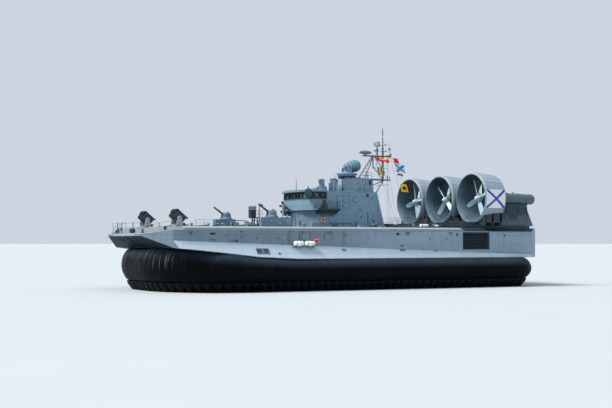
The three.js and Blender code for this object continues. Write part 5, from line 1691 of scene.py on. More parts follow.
def egg_items():
    """Ribs, eyes and cradle of the tracking radar, which turn with it, and the platform's trim."""
    tilt = Matrix.Rotation(math.radians(11), 4, "Y")
    outline_of = [
        (1.25, 0.02), (1.16, 0.3), (0.86, 0.5), (0.4, 0.66), (-0.15, 0.78), (-0.6, 0.8), (-1.05, 0.68),
        (-1.25, 0.45),
    ]

    def on_egg(x, turn, off=0.0):
        for (x0, r0), (x1, r1) in zip(outline_of, outline_of[1:]):
            if x >= x1:
                r = r0 + (r1 - r0) * (x0 - x) / (x0 - x1) + off
                break
        spot = tilt @ Vector((x, r * math.sin(turn), r * math.cos(turn)))
        return spot + Vector(RADOME_AT)

    runs = [
        [on_egg(x / 20, math.radians(360 * k / 16), 0.004) for x in range(22, -25, -2)]
        for k in range(0, 16, 4)
    ]
    rings = [
        [on_egg(x, math.radians(12 * k), 0.006) for k in range(31)]
        for x in (1.1, 0.85, 0.6, 0.35, 0.1, -0.15, -0.4, -0.65, -0.9, -1.15)
    ]
    fit(
        "radome_ribs", [pipes(runs, 0.014), pipes(rings, 0.035)], scanner_paint, body="tracking_radar",
        smooth=60,
    )
    eyes = []
    for turn, x in [(1.2, 1.02), (-1.2, 1.02), (2.6, 0.9)]:
        spot = on_egg(x, turn)
        way = (spot - Vector(RADOME_AT)).normalized() + Vector((0.6, 0, -0.1))
        eyes.append(turned([[0.09, -0.04], [0.1, 0.05], [0.07, 0.08], [0.01, 0.08]], spot, way, 16))
    yoke = [block((-3.5, s * 0.62 - 0.05, 15.55), (-2.6, s * 0.62 + 0.05, 16.15), 0.03) for s in (1, -1)]
    fit("radome_eyes", eyes, black_steel, body="tracking_radar")
    fit("radome_cradle", yoke, house_paint, body="tracking_radar", slot="pale_grey")
    heads = bolts(PLATFORM_X, 0, 1.37, 15.34, 15.4, 0.035, 24)
    gusset = block((1.0, -0.03, 14.82), (1.26, 0.03, 15.18), 0.01)
    around = copies(gusset, [(0, 0, 0)] * 12)
    for k, twin in enumerate(around):
        turn_to(
            twin,
            Matrix.Translation((PLATFORM_X, 0, 0)) @ Matrix.Rotation(math.radians(30 * k + 15), 4, "Z"),
        )
    bpy.data.objects.remove(gusset)
    fit("radar_platform_trim", heads + around, house_paint)
    fit(
        "radar_platform_shadow",
        [turned([[1.0, 0], [1.22, 0.2], [1.2, 0.21], [0.9, 0.02]], (PLATFORM_X, 0, 14.74), UP, 28)],
        machinery,
    )


def lattice_dish():
    """Open reflector of the search radar: a curved frame of thin bars, its feed horn and pedestal."""
    bow = lambda y: SEARCH_X - 0.2 + 0.3 * (y / 0.76) ** 2
    level = [19.25, 19.38, 19.52, 19.66, 19.79, 19.9]
    runs = []
    for z in level:
        reach = 0.76 * (1 - 0.25 * abs(z - SEARCH_Z) / 0.345)
        runs.append(
            [(bow(y) + 0.25 * (z - SEARCH_Z) ** 2, y, z) for y in [reach * (k / 8 - 1) for k in range(17)]]
        )
    for k in range(-6, 7):
        y = k * 0.12
        runs.append(
            [
                (bow(y) + 0.25 * (z - SEARCH_Z) ** 2 - 0.012, y, z)
                for z in (19.27, 19.42, SEARCH_Z, 19.73, 19.88)
            ]
        )
    edge = [
        (bow(0.76 * math.cos(t)) + 0.02, 0.76 * math.cos(t), SEARCH_Z + 0.33 * math.sin(t))
        for t in [math.radians(12 * k) for k in range(31)]
    ]
    back = [
        [(SEARCH_X, 0, 19.3), (-8.12, 0, 19.5)],
        [(SEARCH_X, 0, 19.2), (SEARCH_X, 0, 19.35), (-7.72, 0, 19.3), (-7.62, 0, 19.5)],
    ]
    post = drum((SEARCH_X, 0, 18.502), (SEARCH_X, 0, 19.36), 0.085, 0.07, 14)
    box = block((-8.05, -0.14, 18.62), (-7.75, 0.14, 18.95), 0.03)
    horn = block((-7.68, -0.06, 19.48), (-7.58, 0.06, 19.6), 0.015)
    dish = fit(
        "search_radar_dish", [pipes(runs, 0.016), pipes([edge], 0.03), pipes(back, 0.035), post, box, horn],
        mast_paint, body="search_radar", slot="dark_grey",
    )
    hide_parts("search_radar")


def scanner():
    """Trim of the navigation scanner: a lens-shaped shell, rings, a slot on each face and a hub."""
    shell = turned(
        [
            [0.01, -0.99], [0.1, -0.92], [0.2, -0.7], [0.25, -0.35], [0.26, 0.0], [0.25, 0.35], [0.2, 0.7],
            [0.1, 0.92], [0.01, 0.99],
        ],
        (-6.0, 0, SCANNER_Z), FORE, 24,
    )
    seams = [
        hoop((x, 0, SCANNER_Z), FORE, r, 0.012, 24, 6)
        for x, r in ((-5.65, 0.252), (-6.35, 0.252), (-5.3, 0.203), (-6.7, 0.203))
    ]
    fit("scanner_shell", [shell, *seams], scanner_paint, slot="house_grey", body="navigation_radar")
    slot_line = block((-6.5, 0.24, 18.3), (-5.5, 0.27, 18.4), 0.01)
    slot_back = block((-6.5, -0.27, 18.3), (-5.5, -0.24, 18.4), 0.01)
    hub = drum((-6.0, 0, 18.06), (-6.0, 0, 18.17), 0.16, 0.12, 16)
    fit(
        "scanner_trim", [slot_line, slot_back, hub], fitting_paint, body="navigation_radar",
        slot="dark_grey",
    )


def mast_items():
    """Lattice bars, yards, insulators, lamps, cones and stays on the mast."""
    runs = []
    foot, head = Vector((-5.2, 1.0, 14.6)), Vector((-7.2, 0.15, 17.8))
    for k in range(6):
        a, b = foot.lerp(head, k / 6), foot.lerp(head, (k + 1) / 6)
        runs.append([a, Vector((b.x, -b.y, b.z)), b])
    runs += [
        [(-7.4, 0, 18.55), (-9.4, 0, 18.55)], [(MAST_X, -1.1, 16.2), (MAST_X, 1.1, 16.2)],
        [(MAST_X, -0.8, 19.4), (MAST_X, 0.8, 19.4)], [(MAST_X, 0, 17.0), (-10.0, 0, 17.85)],
        [(-6.3, -0.5, 16.2), (-6.3, 0.5, 16.2)], [(-9.9, 0, YARD_Z), (-9.9, 0, 18.9)],
        [(-9.9, 0, 14.6), (MAST_X, 0, 15.6)], [(-9.9, 0, 14.62), (-9.9, 0, 15.1)],
        [(MAST_X, -1.6, 13.9), (MAST_X, 1.6, 13.9)], [(MAST_X, 0, 14.5), (MAST_X, 0, 13.9)],
        [(-9.6, 0, 14.6), (-9.6, 0, 14.95)], [(-5.6, -0.35, YARD_Z), (-6.4, -0.35, YARD_Z)],
        [(-5.6, 0.35, YARD_Z), (-6.4, 0.35, YARD_Z)], [(-5.6, -0.35, YARD_Z), (-5.6, 0.35, YARD_Z)],
        [(-6.4, -0.35, YARD_Z), (-6.4, 0.35, YARD_Z)],
    ]
    runs += [[(-8.92, -0.12, 14.7 + 0.3 * k), (-8.92, 0.12, 14.7 + 0.3 * k)] for k in range(14)]
    fit("mast_lattice", [pipes(runs, 0.03)], mast_paint)
    knobs = [
        turned([[0.06, 0], [0.1, 0.05], [0.1, 0.14], [0.05, 0.2]], at, UP, 12)
        for at in [
            (MAST_X, 0, 19.0), (MAST_X, 0.02, 19.4), (MAST_X, 0.02, 19.8), (MAST_X, 0.8, 19.4),
            (MAST_X, -0.8, 19.4), (MAST_X, 2.15, 17.95), (MAST_X, -2.15, 17.95), (-9.6, 0, 14.95),
            (-7.5, 0, 18.58), (-9.3, 0, 18.58),
        ]
    ]
    knobs.append(turned([[0.26, 0], [0.24, 0.03], [0.05, 0.3], [0.03, 0.34]], (-9.9, 0, 18.85), UP, 16))
    knobs += [
        drum((-9.9, 0, 19.1), (-9.9, 0, 20.0), 0.02, 0.012, 8, 0),
        drum((MAST_X, 1.9, YARD_Z), (MAST_X, 1.9, 18.9), 0.018, 0.01, 8, 0),
        drum((MAST_X, -1.9, YARD_Z), (MAST_X, -1.9, 18.9), 0.018, 0.01, 8, 0),
    ]
    boxes = [
        block((-9.05, -0.12, 15.4), (-8.92, 0.12, 15.9), 0.015),
        block((-8.72, -0.1, 17.1), (-8.55, 0.1, 17.5), 0.02),
    ]
    fit("mast_fittings", knobs + boxes, mast_paint)
    lights = [turned([[0.06, 0], [0.075, 0.05], [0.06, 0.12], [0.02, 0.15]], at, UP, 12) for at in
              [(MAST_X, 1.05, 16.23), (MAST_X, -1.05, 16.23), (-7.2, 0, 18.02), (MAST_X, 0.02, 20.6)]]
    fit("mast_lamps", lights, lamp_white, smooth=60)
    stays = [
        [(MAST_X, 2.15, 17.88), (-13.2, 3.2, 8.4)], [(MAST_X, -2.15, 17.88), (-13.2, -3.2, 8.4)],
        [(-10.0, 0, YARD_Z), (-13.2, 0, 8.4)], [(MAST_X, 1.2, 17.88), (-7.3, 3.6, 8.52)],
        [(MAST_X, -1.2, 17.88), (-7.3, -3.6, 8.52)],
        [(-7.48, 0.3, YARD_Z), (-7.86, 0.3, 15.0), (-7.6, 0.6, 12.0), (-7.5, 1.2, 8.2)],
        [(-8.5, 0.2, YARD_Z), (-8.6, 0.5, 14.6)], [(-9.4, 0, YARD_Z), (-10.6, 0.9, 8.4)],
        [(-9.4, 0, YARD_Z), (-10.6, -0.9, 8.4)],
    ]
    fit("mast_stays", [pipes(stays, 0.012)], black_steel)


bridge_windows()
bridge_roof_items()
house_side()
front_wall()
wing_platforms()
tower_items()
director_items()
egg_items()
lattice_dish()
scanner()
mast_items()


# ---------------------------------------------------------------- flags
def flag(name, top, foot, fly, pattern, drift=0.0, phase=0.0):
    """A signal flag hung from a line by its hoist edge, rippling as it flies aft."""
    top, foot = Vector(top), Vector(foot)
    pick()
    bpy.ops.mesh.primitive_grid_add(x_subdivisions=26, y_subdivisions=18, size=2)
    piece = bpy.context.object
    layer = piece.data.uv_layers.active.data
    spots = {}
    for vertex in piece.data.vertices:
        u, v = (vertex.co.x + 1) / 2, (1 - vertex.co.y) / 2
        spots[vertex.index] = (u, v)
        wave = math.sin(u * 8.5 + v * 1.6 + phase) * 0.11 * min(1.0, u * 2.2)
        wave += math.sin(u * 15 - v * 3 + phase) * 0.03 * u
        spot = top.lerp(foot, v)
        spot += Vector((-u * fly * 0.94, wave + 0.15 * u * fly, -0.1 * fly * u * u - drift * u * fly))
        vertex.co = spot * SCALE
    for loop in piece.data.loops:
        layer[loop.index].uv = spots[loop.vertex_index]
    apply_modifier(piece, "SOLIDIFY", thickness=0.008 * SCALE, offset=0)
    fit(name, [piece], cloth(name, pattern), slot="raft_white", smooth=60)


def flags():
    red, yellow, blue = rgb(0.9, 0.02, 0.03), rgb(1.0, 0.62, 0.01), rgb(0.02, 0.12, 0.6)
    white, black = rgb(0.85, 0.85, 0.84), rgb(0.03, 0.03, 0.035)
    sky_blue = rgb(0.02, 0.25, 0.75)
    halves = lambda f, u, v: f.mix((v + u * 0.35) > 0.62, f.mix(u > 0.25, red, yellow), red)
    stripes = lambda f, u, v: f.mix(u.saw(0.4) > 0.5, yellow, blue)
    plain_red = lambda f, u, v: f.mix(u > 2.0, red, white)
    saltire = lambda f, u, v: f.mix((abs(u - v) < 0.16) + (abs(u + v - 1.0) < 0.16), white, sky_blue)
    striped = lambda f, u, v: f.mix(v.band(0.3, 0.7), white, black)
    centred = lambda f, u, v: f.mix(u.band(0.27, 0.73) * v.band(0.3, 0.72), yellow, black)
    line = lambda z: (-10.45 - 2.9 * (17.9 - z) / 9.5, 0.0, z)
    flag("flag_red_yellow", (-7.5, 0.3, 17.72), (-7.55, 0.3, 17.24), 2.1, halves, 0.05, 0.4)
    flag("flag_stripes", (-7.62, 0.3, 16.4), (-7.74, 0.3, 15.3), 0.98, stripes, 0.0, 1.0)
    flag("flag_red", line(17.75), line(17.05), 0.85, plain_red, 0.1, 2.0)
    flag("flag_saltire", line(16.95), line(15.8), 1.45, saltire, 0.05, 0.2)
    flag("flag_black_white", line(15.72), line(15.25), 0.95, striped, 0.05, 3.0)
    flag("flag_yellow_centre", line(14.15), line(13.05), 1.15, centred, 0.0, 1.7)


# ---------------------------------------------------------------- decks
def deck_z(x):
    """Height of the deck, level and then falling to the bow."""
    return DECK - max(0.0, x - 24.65) * 0.2375


def bollard(x, y, turn=0.0):
    """A mooring bollard: base plate with two capped posts and a cross bar."""
    z = deck_z(x)
    plate = block((-0.42, -0.16, 0), (0.42, 0.16, 0.05), 0.015)
    posts = [
        turned(
            [[0.11, 0.04], [0.09, 0.12], [0.09, 0.3], [0.13, 0.33], [0.13, 0.38], [0.06, 0.41]],
            (s * 0.24, 0, 0), UP, 16,
        )
        for s in (1, -1)
    ]
    bar = drum((-0.24, 0, 0.2), (0.24, 0, 0.2), 0.035, sides=10, bevel=0)
    matrix = Matrix.Translation((x, y, z)) @ Matrix.Rotation(turn, 4, "Z")
    return placed([plate, *posts, bar], matrix)


def mushroom(x, y, r=0.2, high=0.5):
    """A mushroom vent on the deck."""
    return turned(
        [
            [r * 0.62, 0], [r * 0.62, high * 0.6], [r, high * 0.62], [r * 1.05, high * 0.72],
            [r * 0.8, high * 0.95], [0.02, high],
        ],
        (x, y, deck_z(x)), UP, 18,
    )


def deck_items():
    """Bollards, vents, hatches, lift fan gratings, winches and lockers on the weather deck."""
    gear = []
    for x, y, turn in [
        (27.9, 4.8, 1.2), (26.4, 8.4, 0.9), (18.2, 8.85, 0), (3.8, 8.85, 0), (-12.4, 8.85, 0),
    ]:
        gear += bollard(x, y, turn)
    for x, y in [(20.2, 8.8), (15.6, 8.9), (-2.0, 8.9), (-16.4, 8.6)]:
        chock = block((x - 0.3, y - 0.1, DECK), (x + 0.3, y + 0.1, 8.02), 0.03)
        gear += [
            chock, drum((x - 0.22, y, 8.0), (x - 0.22, y, 8.16), 0.07, sides=12),
            drum((x + 0.22, y, 8.0), (x + 0.22, y, 8.16), 0.07, sides=12),
        ]
    winch = [
        drum((27.85, 0.45, 7.42), (27.85, 1.15, 7.42), 0.17, sides=16),
        drum((27.85, 0.45, 7.42), (27.85, 0.5, 7.42), 0.25, sides=18),
        drum((27.85, 1.1, 7.42), (27.85, 1.15, 7.42), 0.25, sides=18),
        block((27.6, 0.3, 7.16), (28.1, 1.3, 7.24), 0.02),
        block((27.65, 1.15, 7.2), (28.05, 1.4, 7.6), 0.04),
    ]
    fit("deck_gear", both(gear) + winch, machinery)
    vents = [
        mushroom(x, y, r, h)
        for x, y, r, h in [
            (21.0, 3.2, 0.22, 0.5), (18.9, 6.6, 0.18, 0.42), (16.4, 2.4, 0.24, 0.55),
            (15.0, 6.9, 0.16, 0.4), (8.9, 4.9, 0.2, 0.5), (7.4, 7.4, 0.24, 0.55), (-3.4, 6.4, 0.22, 0.55),
            (-8.9, 7.6, 0.2, 0.5), (-13.6, 5.6, 0.26, 0.6), (-15.6, 3.4, 0.2, 0.5),
        ]
    ]
    hatches = []
    for x, y, wide, long in [
        (22.0, 1.2, 0.9, 0.9), (19.0, 1.5, 1.3, 1.0), (14.9, 4.3, 0.9, 0.9), (9.2, 1.9, 1.1, 1.4),
        (6.9, 5.6, 1.0, 1.0), (-1.2, 7.3, 1.2, 0.9), (-5.4, 5.3, 1.0, 1.0), (-10.6, 5.0, 1.0, 1.0),
        (-14.2, 1.8, 1.4, 1.2),
    ]:
        hatches.append(
            panelled(
                (x - wide / 2, y - long / 2, DECK), (x + wide / 2, y + long / 2, 8.14), UP, 0.09, -0.03,
            )
        )
        hatches += [
            drum(
                (x + s * wide * 0.35, y - long / 2 - 0.04, 8.08),
                (x + s * wide * 0.35 + 0.12, y - long / 2 - 0.04, 8.08), 0.035, sides=8, bevel=0,
            )
            for s in (1, -1)
        ]
        hatches.append(hoop((x, y, 8.17), UP, 0.12, 0.018, 18, 6))
    lockers = [
        panelled((x, y, DECK), (x + wide, y + 0.5, DECK + high), PORT, 0.05, -0.015)
        for x, y, wide, high in [(13.9, 0.9, 0.9, 0.5), (16.9, 8.0, 1.0, 0.5), (5.6, 7.9, 1.2, 0.6)]
    ]
    low = [
        block((x, y, DECK), (x + 0.5, y + 0.28, 8.1), 0.03)
        for x, y in [(11.9, 1.3), (10.2, 3.4), (20.9, 7.6), (-0.2, 5.4)]
    ]
    fit("deck_vents", both(vents), fitting_paint)
    fit("deck_hatches", both(hatches + lockers + low), fitting_paint, slot="pale_grey")
    # Lift fan inlets: a coaming with a grating of crossed bars over a dark floor, painted shade inside the
    # inlet
    rims, bars, floors = [], [], []
    for x, y in [(-8.6, 6.3), (-12.6, 7.2)]:
        rims.append(
            turned([[1.06, 0], [1.06, 0.18], [1.02, 0.22], [0.92, 0.22], [0.9, 0.05]], (x, y, DECK), UP, 40)
        )
        floors.append(turned([[0.92, 0.06], [0.9, 0.08], [0.02, 0.08]], (x, y, DECK), UP, 40))
        for k in range(-4, 5):
            reach = math.sqrt(0.92 ** 2 - (k * 0.2) ** 2)
            bars.append([(x + k * 0.2, y - reach, 8.09), (x + k * 0.2, y + reach, 8.09)])
            bars.append([(x - reach, y + k * 0.2, 8.07), (x + reach, y + k * 0.2, 8.07)])
    fit("fan_inlet_rims", both(rims), casing_paint, slot="pale_grey")
    stowed = [
        drum((-10.4, 6.9, 8.2), (-11.7, 6.9, 8.2), 0.2, sides=20, bevel=0.06),
        drum((-13.2, 6.4, 8.15), (-13.9, 6.4, 8.15), 0.16, sides=20, bevel=0.05),
    ]
    fit("stowed_canisters", both(stowed), canister_white)
    straps = [hoop((x, 6.9, 8.2), FORE, 0.205, 0.015, 20, 6) for x in (-10.7, -11.4)] + [
        block((x - 0.04, 6.7, DECK), (x + 0.04, 7.1, 8.02), 0.01) for x in (-10.7, -11.4)
    ]
    straps += [block((-13.6, 6.25, DECK), (-13.5, 6.55, 8.02), 0.01)]
    fit("canister_straps", both(straps), machinery)
    fit("fan_inlet_floors", both(floors), black_and_shade)
    fit("fan_inlet_bars", both([pipes(bars, 0.022)]), casing_paint, slot="pale_grey")
    # Low pointed housing in front of the sight, and a stowed boom beside the starboard gun
    wedge = block((11.6, -0.7, DECK), (13.2, 0.7, 8.6), 0)
    for vertex in wedge.data.vertices:
        if vertex.co.x > 12.5 * SCALE and vertex.co.z > 8.2 * SCALE:
            vertex.co.z = 8.12 * SCALE
            vertex.co.y *= 0.5
    soften(wedge, 0.03, 1)
    lid = panelled((11.75, -0.4, 8.56), (12.3, 0.4, 8.66), UP, 0.06, -0.02)
    cap = block((13.1, -0.3, 7.95), (13.4, 0.3, 8.14), 0.04)
    fit("deck_wedge", [wedge, lid], fitting_paint, slot="pale_grey")
    boom = [
        drum((10.95, -7.0, 8.94), (8.6, -7.0, 8.9), 0.07, 0.035, 12),
        block((10.7, -7.15, 8.78), (11.05, -6.85, 9.06), 0.02),
        block((8.9, -7.05, DECK), (8.98, -6.95, 8.9), 0.01),
    ]
    fit("deck_boom", [*boom, cap], machinery)


def deck_rails():
    """Posts and wires along the deck edges and round the bow."""
    line = lambda points: [(x, y, deck_z(x)) for x, y in points]
    runs = []
    for points, high in [([(22.9, 9.2), (20.6, 9.2)], 0.75), ([(-4.6, 9.2), (-15.4, 9.2)], 0.95)]:
        runs += railing(line(points), high, 1.5)
    runs += railing(line([(25.3, 9.2), (28.1, 5.6)]), 0.85, 2.2, (1.0,))
    wires = both([pipes(runs, 0.02)])
    bow = railing(
        line([(28.3, 5.4), (28.3, 2.3), (28.3, -1.9), (28.3, -3.6), (28.3, -5.4)]), 1.3, 9.0, (0.55, 1.0),
    )
    fit("deck_rails", wires + [pipes(bow, 0.022)], mast_paint)
    posts = [drum((28.25, y, 6.98), (28.25, y, 8.48), 0.045, 0.035, 10) for y in (-3.6, -1.9, 2.3)]
    fit("bow_posts", posts, mast_paint)


# ---------------------------------------------------------------- guns, sight and launchers
TURRET_X, TURRET_Y = 11.83, 7.05


def gun_items():
    """Trim of the turrets, guns and gun houses."""
    for side, s in SIDES:
        y = TURRET_Y * s
        trim = [
            turned([[0.2, 0], [0.22, 0.04], [0.2, 0.09], [0.05, 0.12]], (11.62, y, 10.0), UP, 18),
            block((11.28, y - 0.1, 9.6), (11.36, y + 0.1, 9.85), 0.02),
            hoop((TURRET_X, y, 9.44), UP, 0.655, 0.018, 32, 6),
            hoop((TURRET_X, y, 9.78), UP, 0.645, 0.018, 32, 6),
        ]
        trim += bolts(TURRET_X, y, 0.81, 9.15, 9.24, 0.025, 18)
        trim += [
            panelled(
                (11.6, y + e * 0.6 - 0.04, 9.45), (11.95, y + e * 0.6 + 0.07, 9.75), (0, e, 0), 0.04, -0.01,
            )
            for e in (1, -1)
        ]
        steps = pipes(
            [
                [
                    (11.27, y - 0.15, 9.5), (11.17, y - 0.15, 9.5), (11.17, y + 0.15, 9.5),
                    (11.27, y + 0.15, 9.5),
                ]
            ],
            0.016,
        )
        fit(f"turret_trim_{side}", [*trim, steps], turret_paint, body=f"turret_{side}")
        way = Vector((math.cos(math.radians(35)), 0, math.sin(math.radians(35))))
        pivot = Vector((12.11, y, 9.66))
        rings = [
            turned([[0.1, -0.04], [0.135, -0.03], [0.135, 0.03], [0.1, 0.04]], pivot + way * d, way, 20)
            for d in (0.96, 1.2, 1.45)
        ]
        muzzle = turned(
            [[0.09, -0.1], [0.115, -0.08], [0.12, 0.05], [0.1, 0.07], [0.07, 0.07], [0.06, 0.0]],
            pivot + way * 1.75, way, 20,
        )
        tubes = []
        for k in range(6):
            t = math.radians(60 * k)
            off = Vector((0, math.cos(t), 0)) * 0.062 + Vector((-way.z, 0, way.x)) * 0.062 * math.sin(t)
            tubes.append(drum(pivot + way * 1.7 + off, pivot + way * 1.84 + off, 0.024, sides=10, bevel=0))
        fit(f"gun_trim_{side}", [*rings, muzzle, *tubes], black_steel, body=f"gun_{side}")
        plates = []
        x0 = 9.5 if s > 0 else 11.0
        edge = 8.3 * s
        for x, z, wide, high in (
            [
                (9.8, 8.1, 0.6, 0.75), (11.1, 8.2, 0.5, 0.4), (12.3, 8.35, 0.35, 0.3),
            ] if s > 0 else [(11.5, 8.1, 0.6, 0.75)]
        ):
            plates.append(
                panelled(
                    (x, min(edge, edge + s * 0.05), z), (x + wide, max(edge, edge + s * 0.05), z + high),
                    (0, s, 0), 0.05, -0.015,
                )
            )
        plates += [
            panelled(
                (x0 + 0.2, 5.8 * s - 0.04, 8.1), (x0 + 0.85, 5.8 * s + 0.04, 8.95), (0, -s, 0), 0.05,
                -0.015,
            ),
            block((x0 + 0.25, 7.6 * s - 0.15, 9.06), (x0 + 0.6, 7.6 * s + 0.15, 9.22), 0.03),
            panelled((x0 + 0.2, 6.3 * s - 0.3, 9.06), (x0 + 0.8, 6.3 * s + 0.3, 9.13), UP, 0.05, -0.015),
            turned([[0.08, 0], [0.1, 0.04], [0.07, 0.18], [0.02, 0.22]], (x0 + 0.5, 8.0 * s, 9.06), UP, 12),
        ]
        fit(f"gun_house_trim_{side}", plates, house_paint)
        rungs = [
            [
                (x0, 7.0 * s - 0.18, z), (x0 - 0.1, 7.0 * s - 0.18, z), (x0 - 0.1, 7.0 * s + 0.18, z),
                (x0, 7.0 * s + 0.18, z),
            ]
            for z in (8.1, 8.38, 8.66, 8.94)
        ]
        fit(f"gun_house_rungs_{side}", [pipes(rungs, 0.02)], fitting_paint)


def sight_items():
    """The sight's pale hood, slatted lower box, braces, ladder and bent pipe."""
    hood = [
        block((10.82, -0.48, 10.22), (11.55, 0.48, 10.7), 0.04),
        block((10.78, -0.52, 10.2), (11.6, 0.52, 10.26), 0.015),
    ]
    fit("sight_hood", hood, house_paint, slot="dark_grey")
    slats = [
        block((10.84, s * 0.455 - 0.02, 9.3 + 0.11 * k), (11.53, s * 0.455 + 0.02, 9.35 + 0.11 * k), 0.006)
        for k in range(8) for s in (1, -1)
    ]
    slats += [block((11.5, -0.42, 9.3 + 0.11 * k), (11.55, 0.42, 9.35 + 0.11 * k), 0.006) for k in range(8)]
    eye_piece = turned([[0.1, 0], [0.12, 0.03], [0.12, 0.16], [0.09, 0.16]], (11.54, 0.2, 10.45), FORE, 18)
    runs = [
        [(10.3, -0.4, DECK), (10.3, 0.34, 9.15)], [(10.3, 0.4, DECK), (10.3, -0.34, 9.15)],
        [(11.05, -0.4, DECK), (11.05, 0.34, 9.15)], [(11.05, 0.4, DECK), (11.05, -0.34, 9.15)],
        [(10.3, 0.4, DECK), (11.05, 0.34, 9.15)], [(10.3, -0.4, DECK), (11.05, -0.34, 9.15)],
    ]
    bent = [
        [
            (10.45, 0.55, 9.2), (10.45, 0.55, 10.62), (10.36, 0.55, 10.86), (10.2, 0.55, 10.95),
            (10.08, 0.55, 10.86),
        ]
    ]
    rail = railing(
        [(10.0, 0.66, 9.23), (10.0, -0.66, 9.23)], 0.9, 0.66,
    ) + railing([(10.0, -0.66, 9.23), (10.8, -0.66, 9.23)], 0.9, 0.8)
    rungs = [
        [(9.94, -0.16, z), (9.94, 0.16, z)] for z in (8.1, 8.35, 8.6, 8.85)
    ] + [[(9.94, y, DECK), (9.94, y, 9.2)] for y in (-0.16, 0.16)]
    knob = turned(
        [[0.08, 0], [0.14, 0.06], [0.15, 0.16], [0.06, 0.22]], (10.08, 0.55, 10.72), (-0.4, 0, 1), 14,
    )
    fit(
        "sight_trim",
        [*slats, eye_piece, pipes(runs, 0.03), pipes(bent, 0.055, 2), knob, pipes(rail + rungs, 0.018)],
        machinery,
    )


LAUNCHER_X = 23.9
LAUNCHER_Y = 5.64
LAUNCHER_Z = 9.0


def launcher_items():
    """Tube packs in two stepped rows, with bands, end plates and trunnions; ribs and boxes on the yokes."""
    pack = [block((-0.72, s * 0.86 - 0.035, -0.36), (0.6, s * 0.86 + 0.035, 0.56), 0.02) for s in (1, -1)]
    pack.append(block((-1.0, -0.9, 0.58), (0.82, 0.9, 0.66), 0.015))
    for rows, fore in (((-0.22, 0.0), 0.74), ((0.24, 0.44), 0.84)):
        for z in rows:
            first = turned(
                [
                    [0.095, -0.78], [0.1, -0.76], [0.1, fore - 0.03], [0.104, fore - 0.02], [0.104, fore],
                    [0.085, fore], [0.082, fore - 0.35], [0.01, fore - 0.36],
                ],
                (0, -0.73, z), FORE, 16,
            )
            pack += [first, *copies(first, [(0, 0.2086 * k, 0) for k in range(1, 8)])]
    for x, low, high in [(-0.55, -0.36, 0.58), (0.1, -0.36, 0.58), (0.5, -0.36, 0.58)]:
        pack += [block((x - 0.03, -0.88, z - 0.03), (x + 0.03, 0.88, z + 0.03), 0.01) for z in (low, high)]
        pack += [
            block((x - 0.03, s * 0.87 - 0.04, low), (x + 0.03, s * 0.87 + 0.04, high), 0.01)
            for s in (1, -1)
        ]
    pack += [
        drum((0, -0.947, 0), (0, 0.947, 0), 0.12, sides=18, bevel=0.01),
        block((-0.8, -0.3, 0.0), (-0.66, 0.3, 0.3), 0.03),
    ]
    for side, s in SIDES:
        matrix = Matrix.Translation((LAUNCHER_X, s * LAUNCHER_Y, LAUNCHER_Z))
        matrix = matrix @ Matrix.Rotation(math.radians(-40), 4, "Y")
        tubes = fit(
            f"launcher_tubes_{side}", placed(again(pack), matrix), pack_paint, body=f"launcher_pack_{side}",
        )
        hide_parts(f"launcher_pack_{side}")
        x, y = LAUNCHER_X, s * LAUNCHER_Y
        trim = [hoop((x, y + e * 1.08, LAUNCHER_Z), PORT, 0.14, 0.025, 20, 6) for e in (1, -1)]
        trim += [
            block((x - 0.03, y + e * 1.1 - 0.05, 8.12), (x + 0.03, y + e * 1.1 + 0.05, 8.8), 0.01)
            for e in (1, -1)
        ]
        trim += bolts(x, y, 0.5, 8.09, 8.13, 0.03, 12, 15)
        fit(f"launcher_yoke_trim_{side}", trim, yoke_paint, body=f"launcher_yoke_{side}")
        drive = [
            panelled((x - 1.0, y - 0.3, 8.02), (x - 0.62, y + 0.3, 8.33), AFT, 0.05, -0.015),
            block((x - 0.66, y - 0.15, 8.01), (x - 0.4, y + 0.15, 8.09), 0.01),
        ]
        fit(f"launcher_drive_{side}", drive, machinery, body=f"launcher_yoke_{side}")
        seat = bolts(x, y, 0.75, DECK, 7.95, 0.03, 18)
        seat.append(turned([[0.85, 0], [0.85, 0.02], [0.62, 0.03], [0.61, 0.03]], (x, y, DECK), UP, 36))
        fit(f"launcher_seat_{side}", seat, fitting_paint, slot="dark_grey")
    for piece in pack:
        bpy.data.objects.remove(piece)


# ---------------------------------------------------------------- fans, pods and pylons
PROPELLER_X = -19.4
GAP_Y = 3.87


def spoke(x, y, degrees, near, far):
    """A bar out from a fan's axis, from one radius to another."""
    t = math.radians(degrees)
    return [(x, y + r * math.sin(t), FAN_Z + r * math.cos(t)) for r in (near, far)]


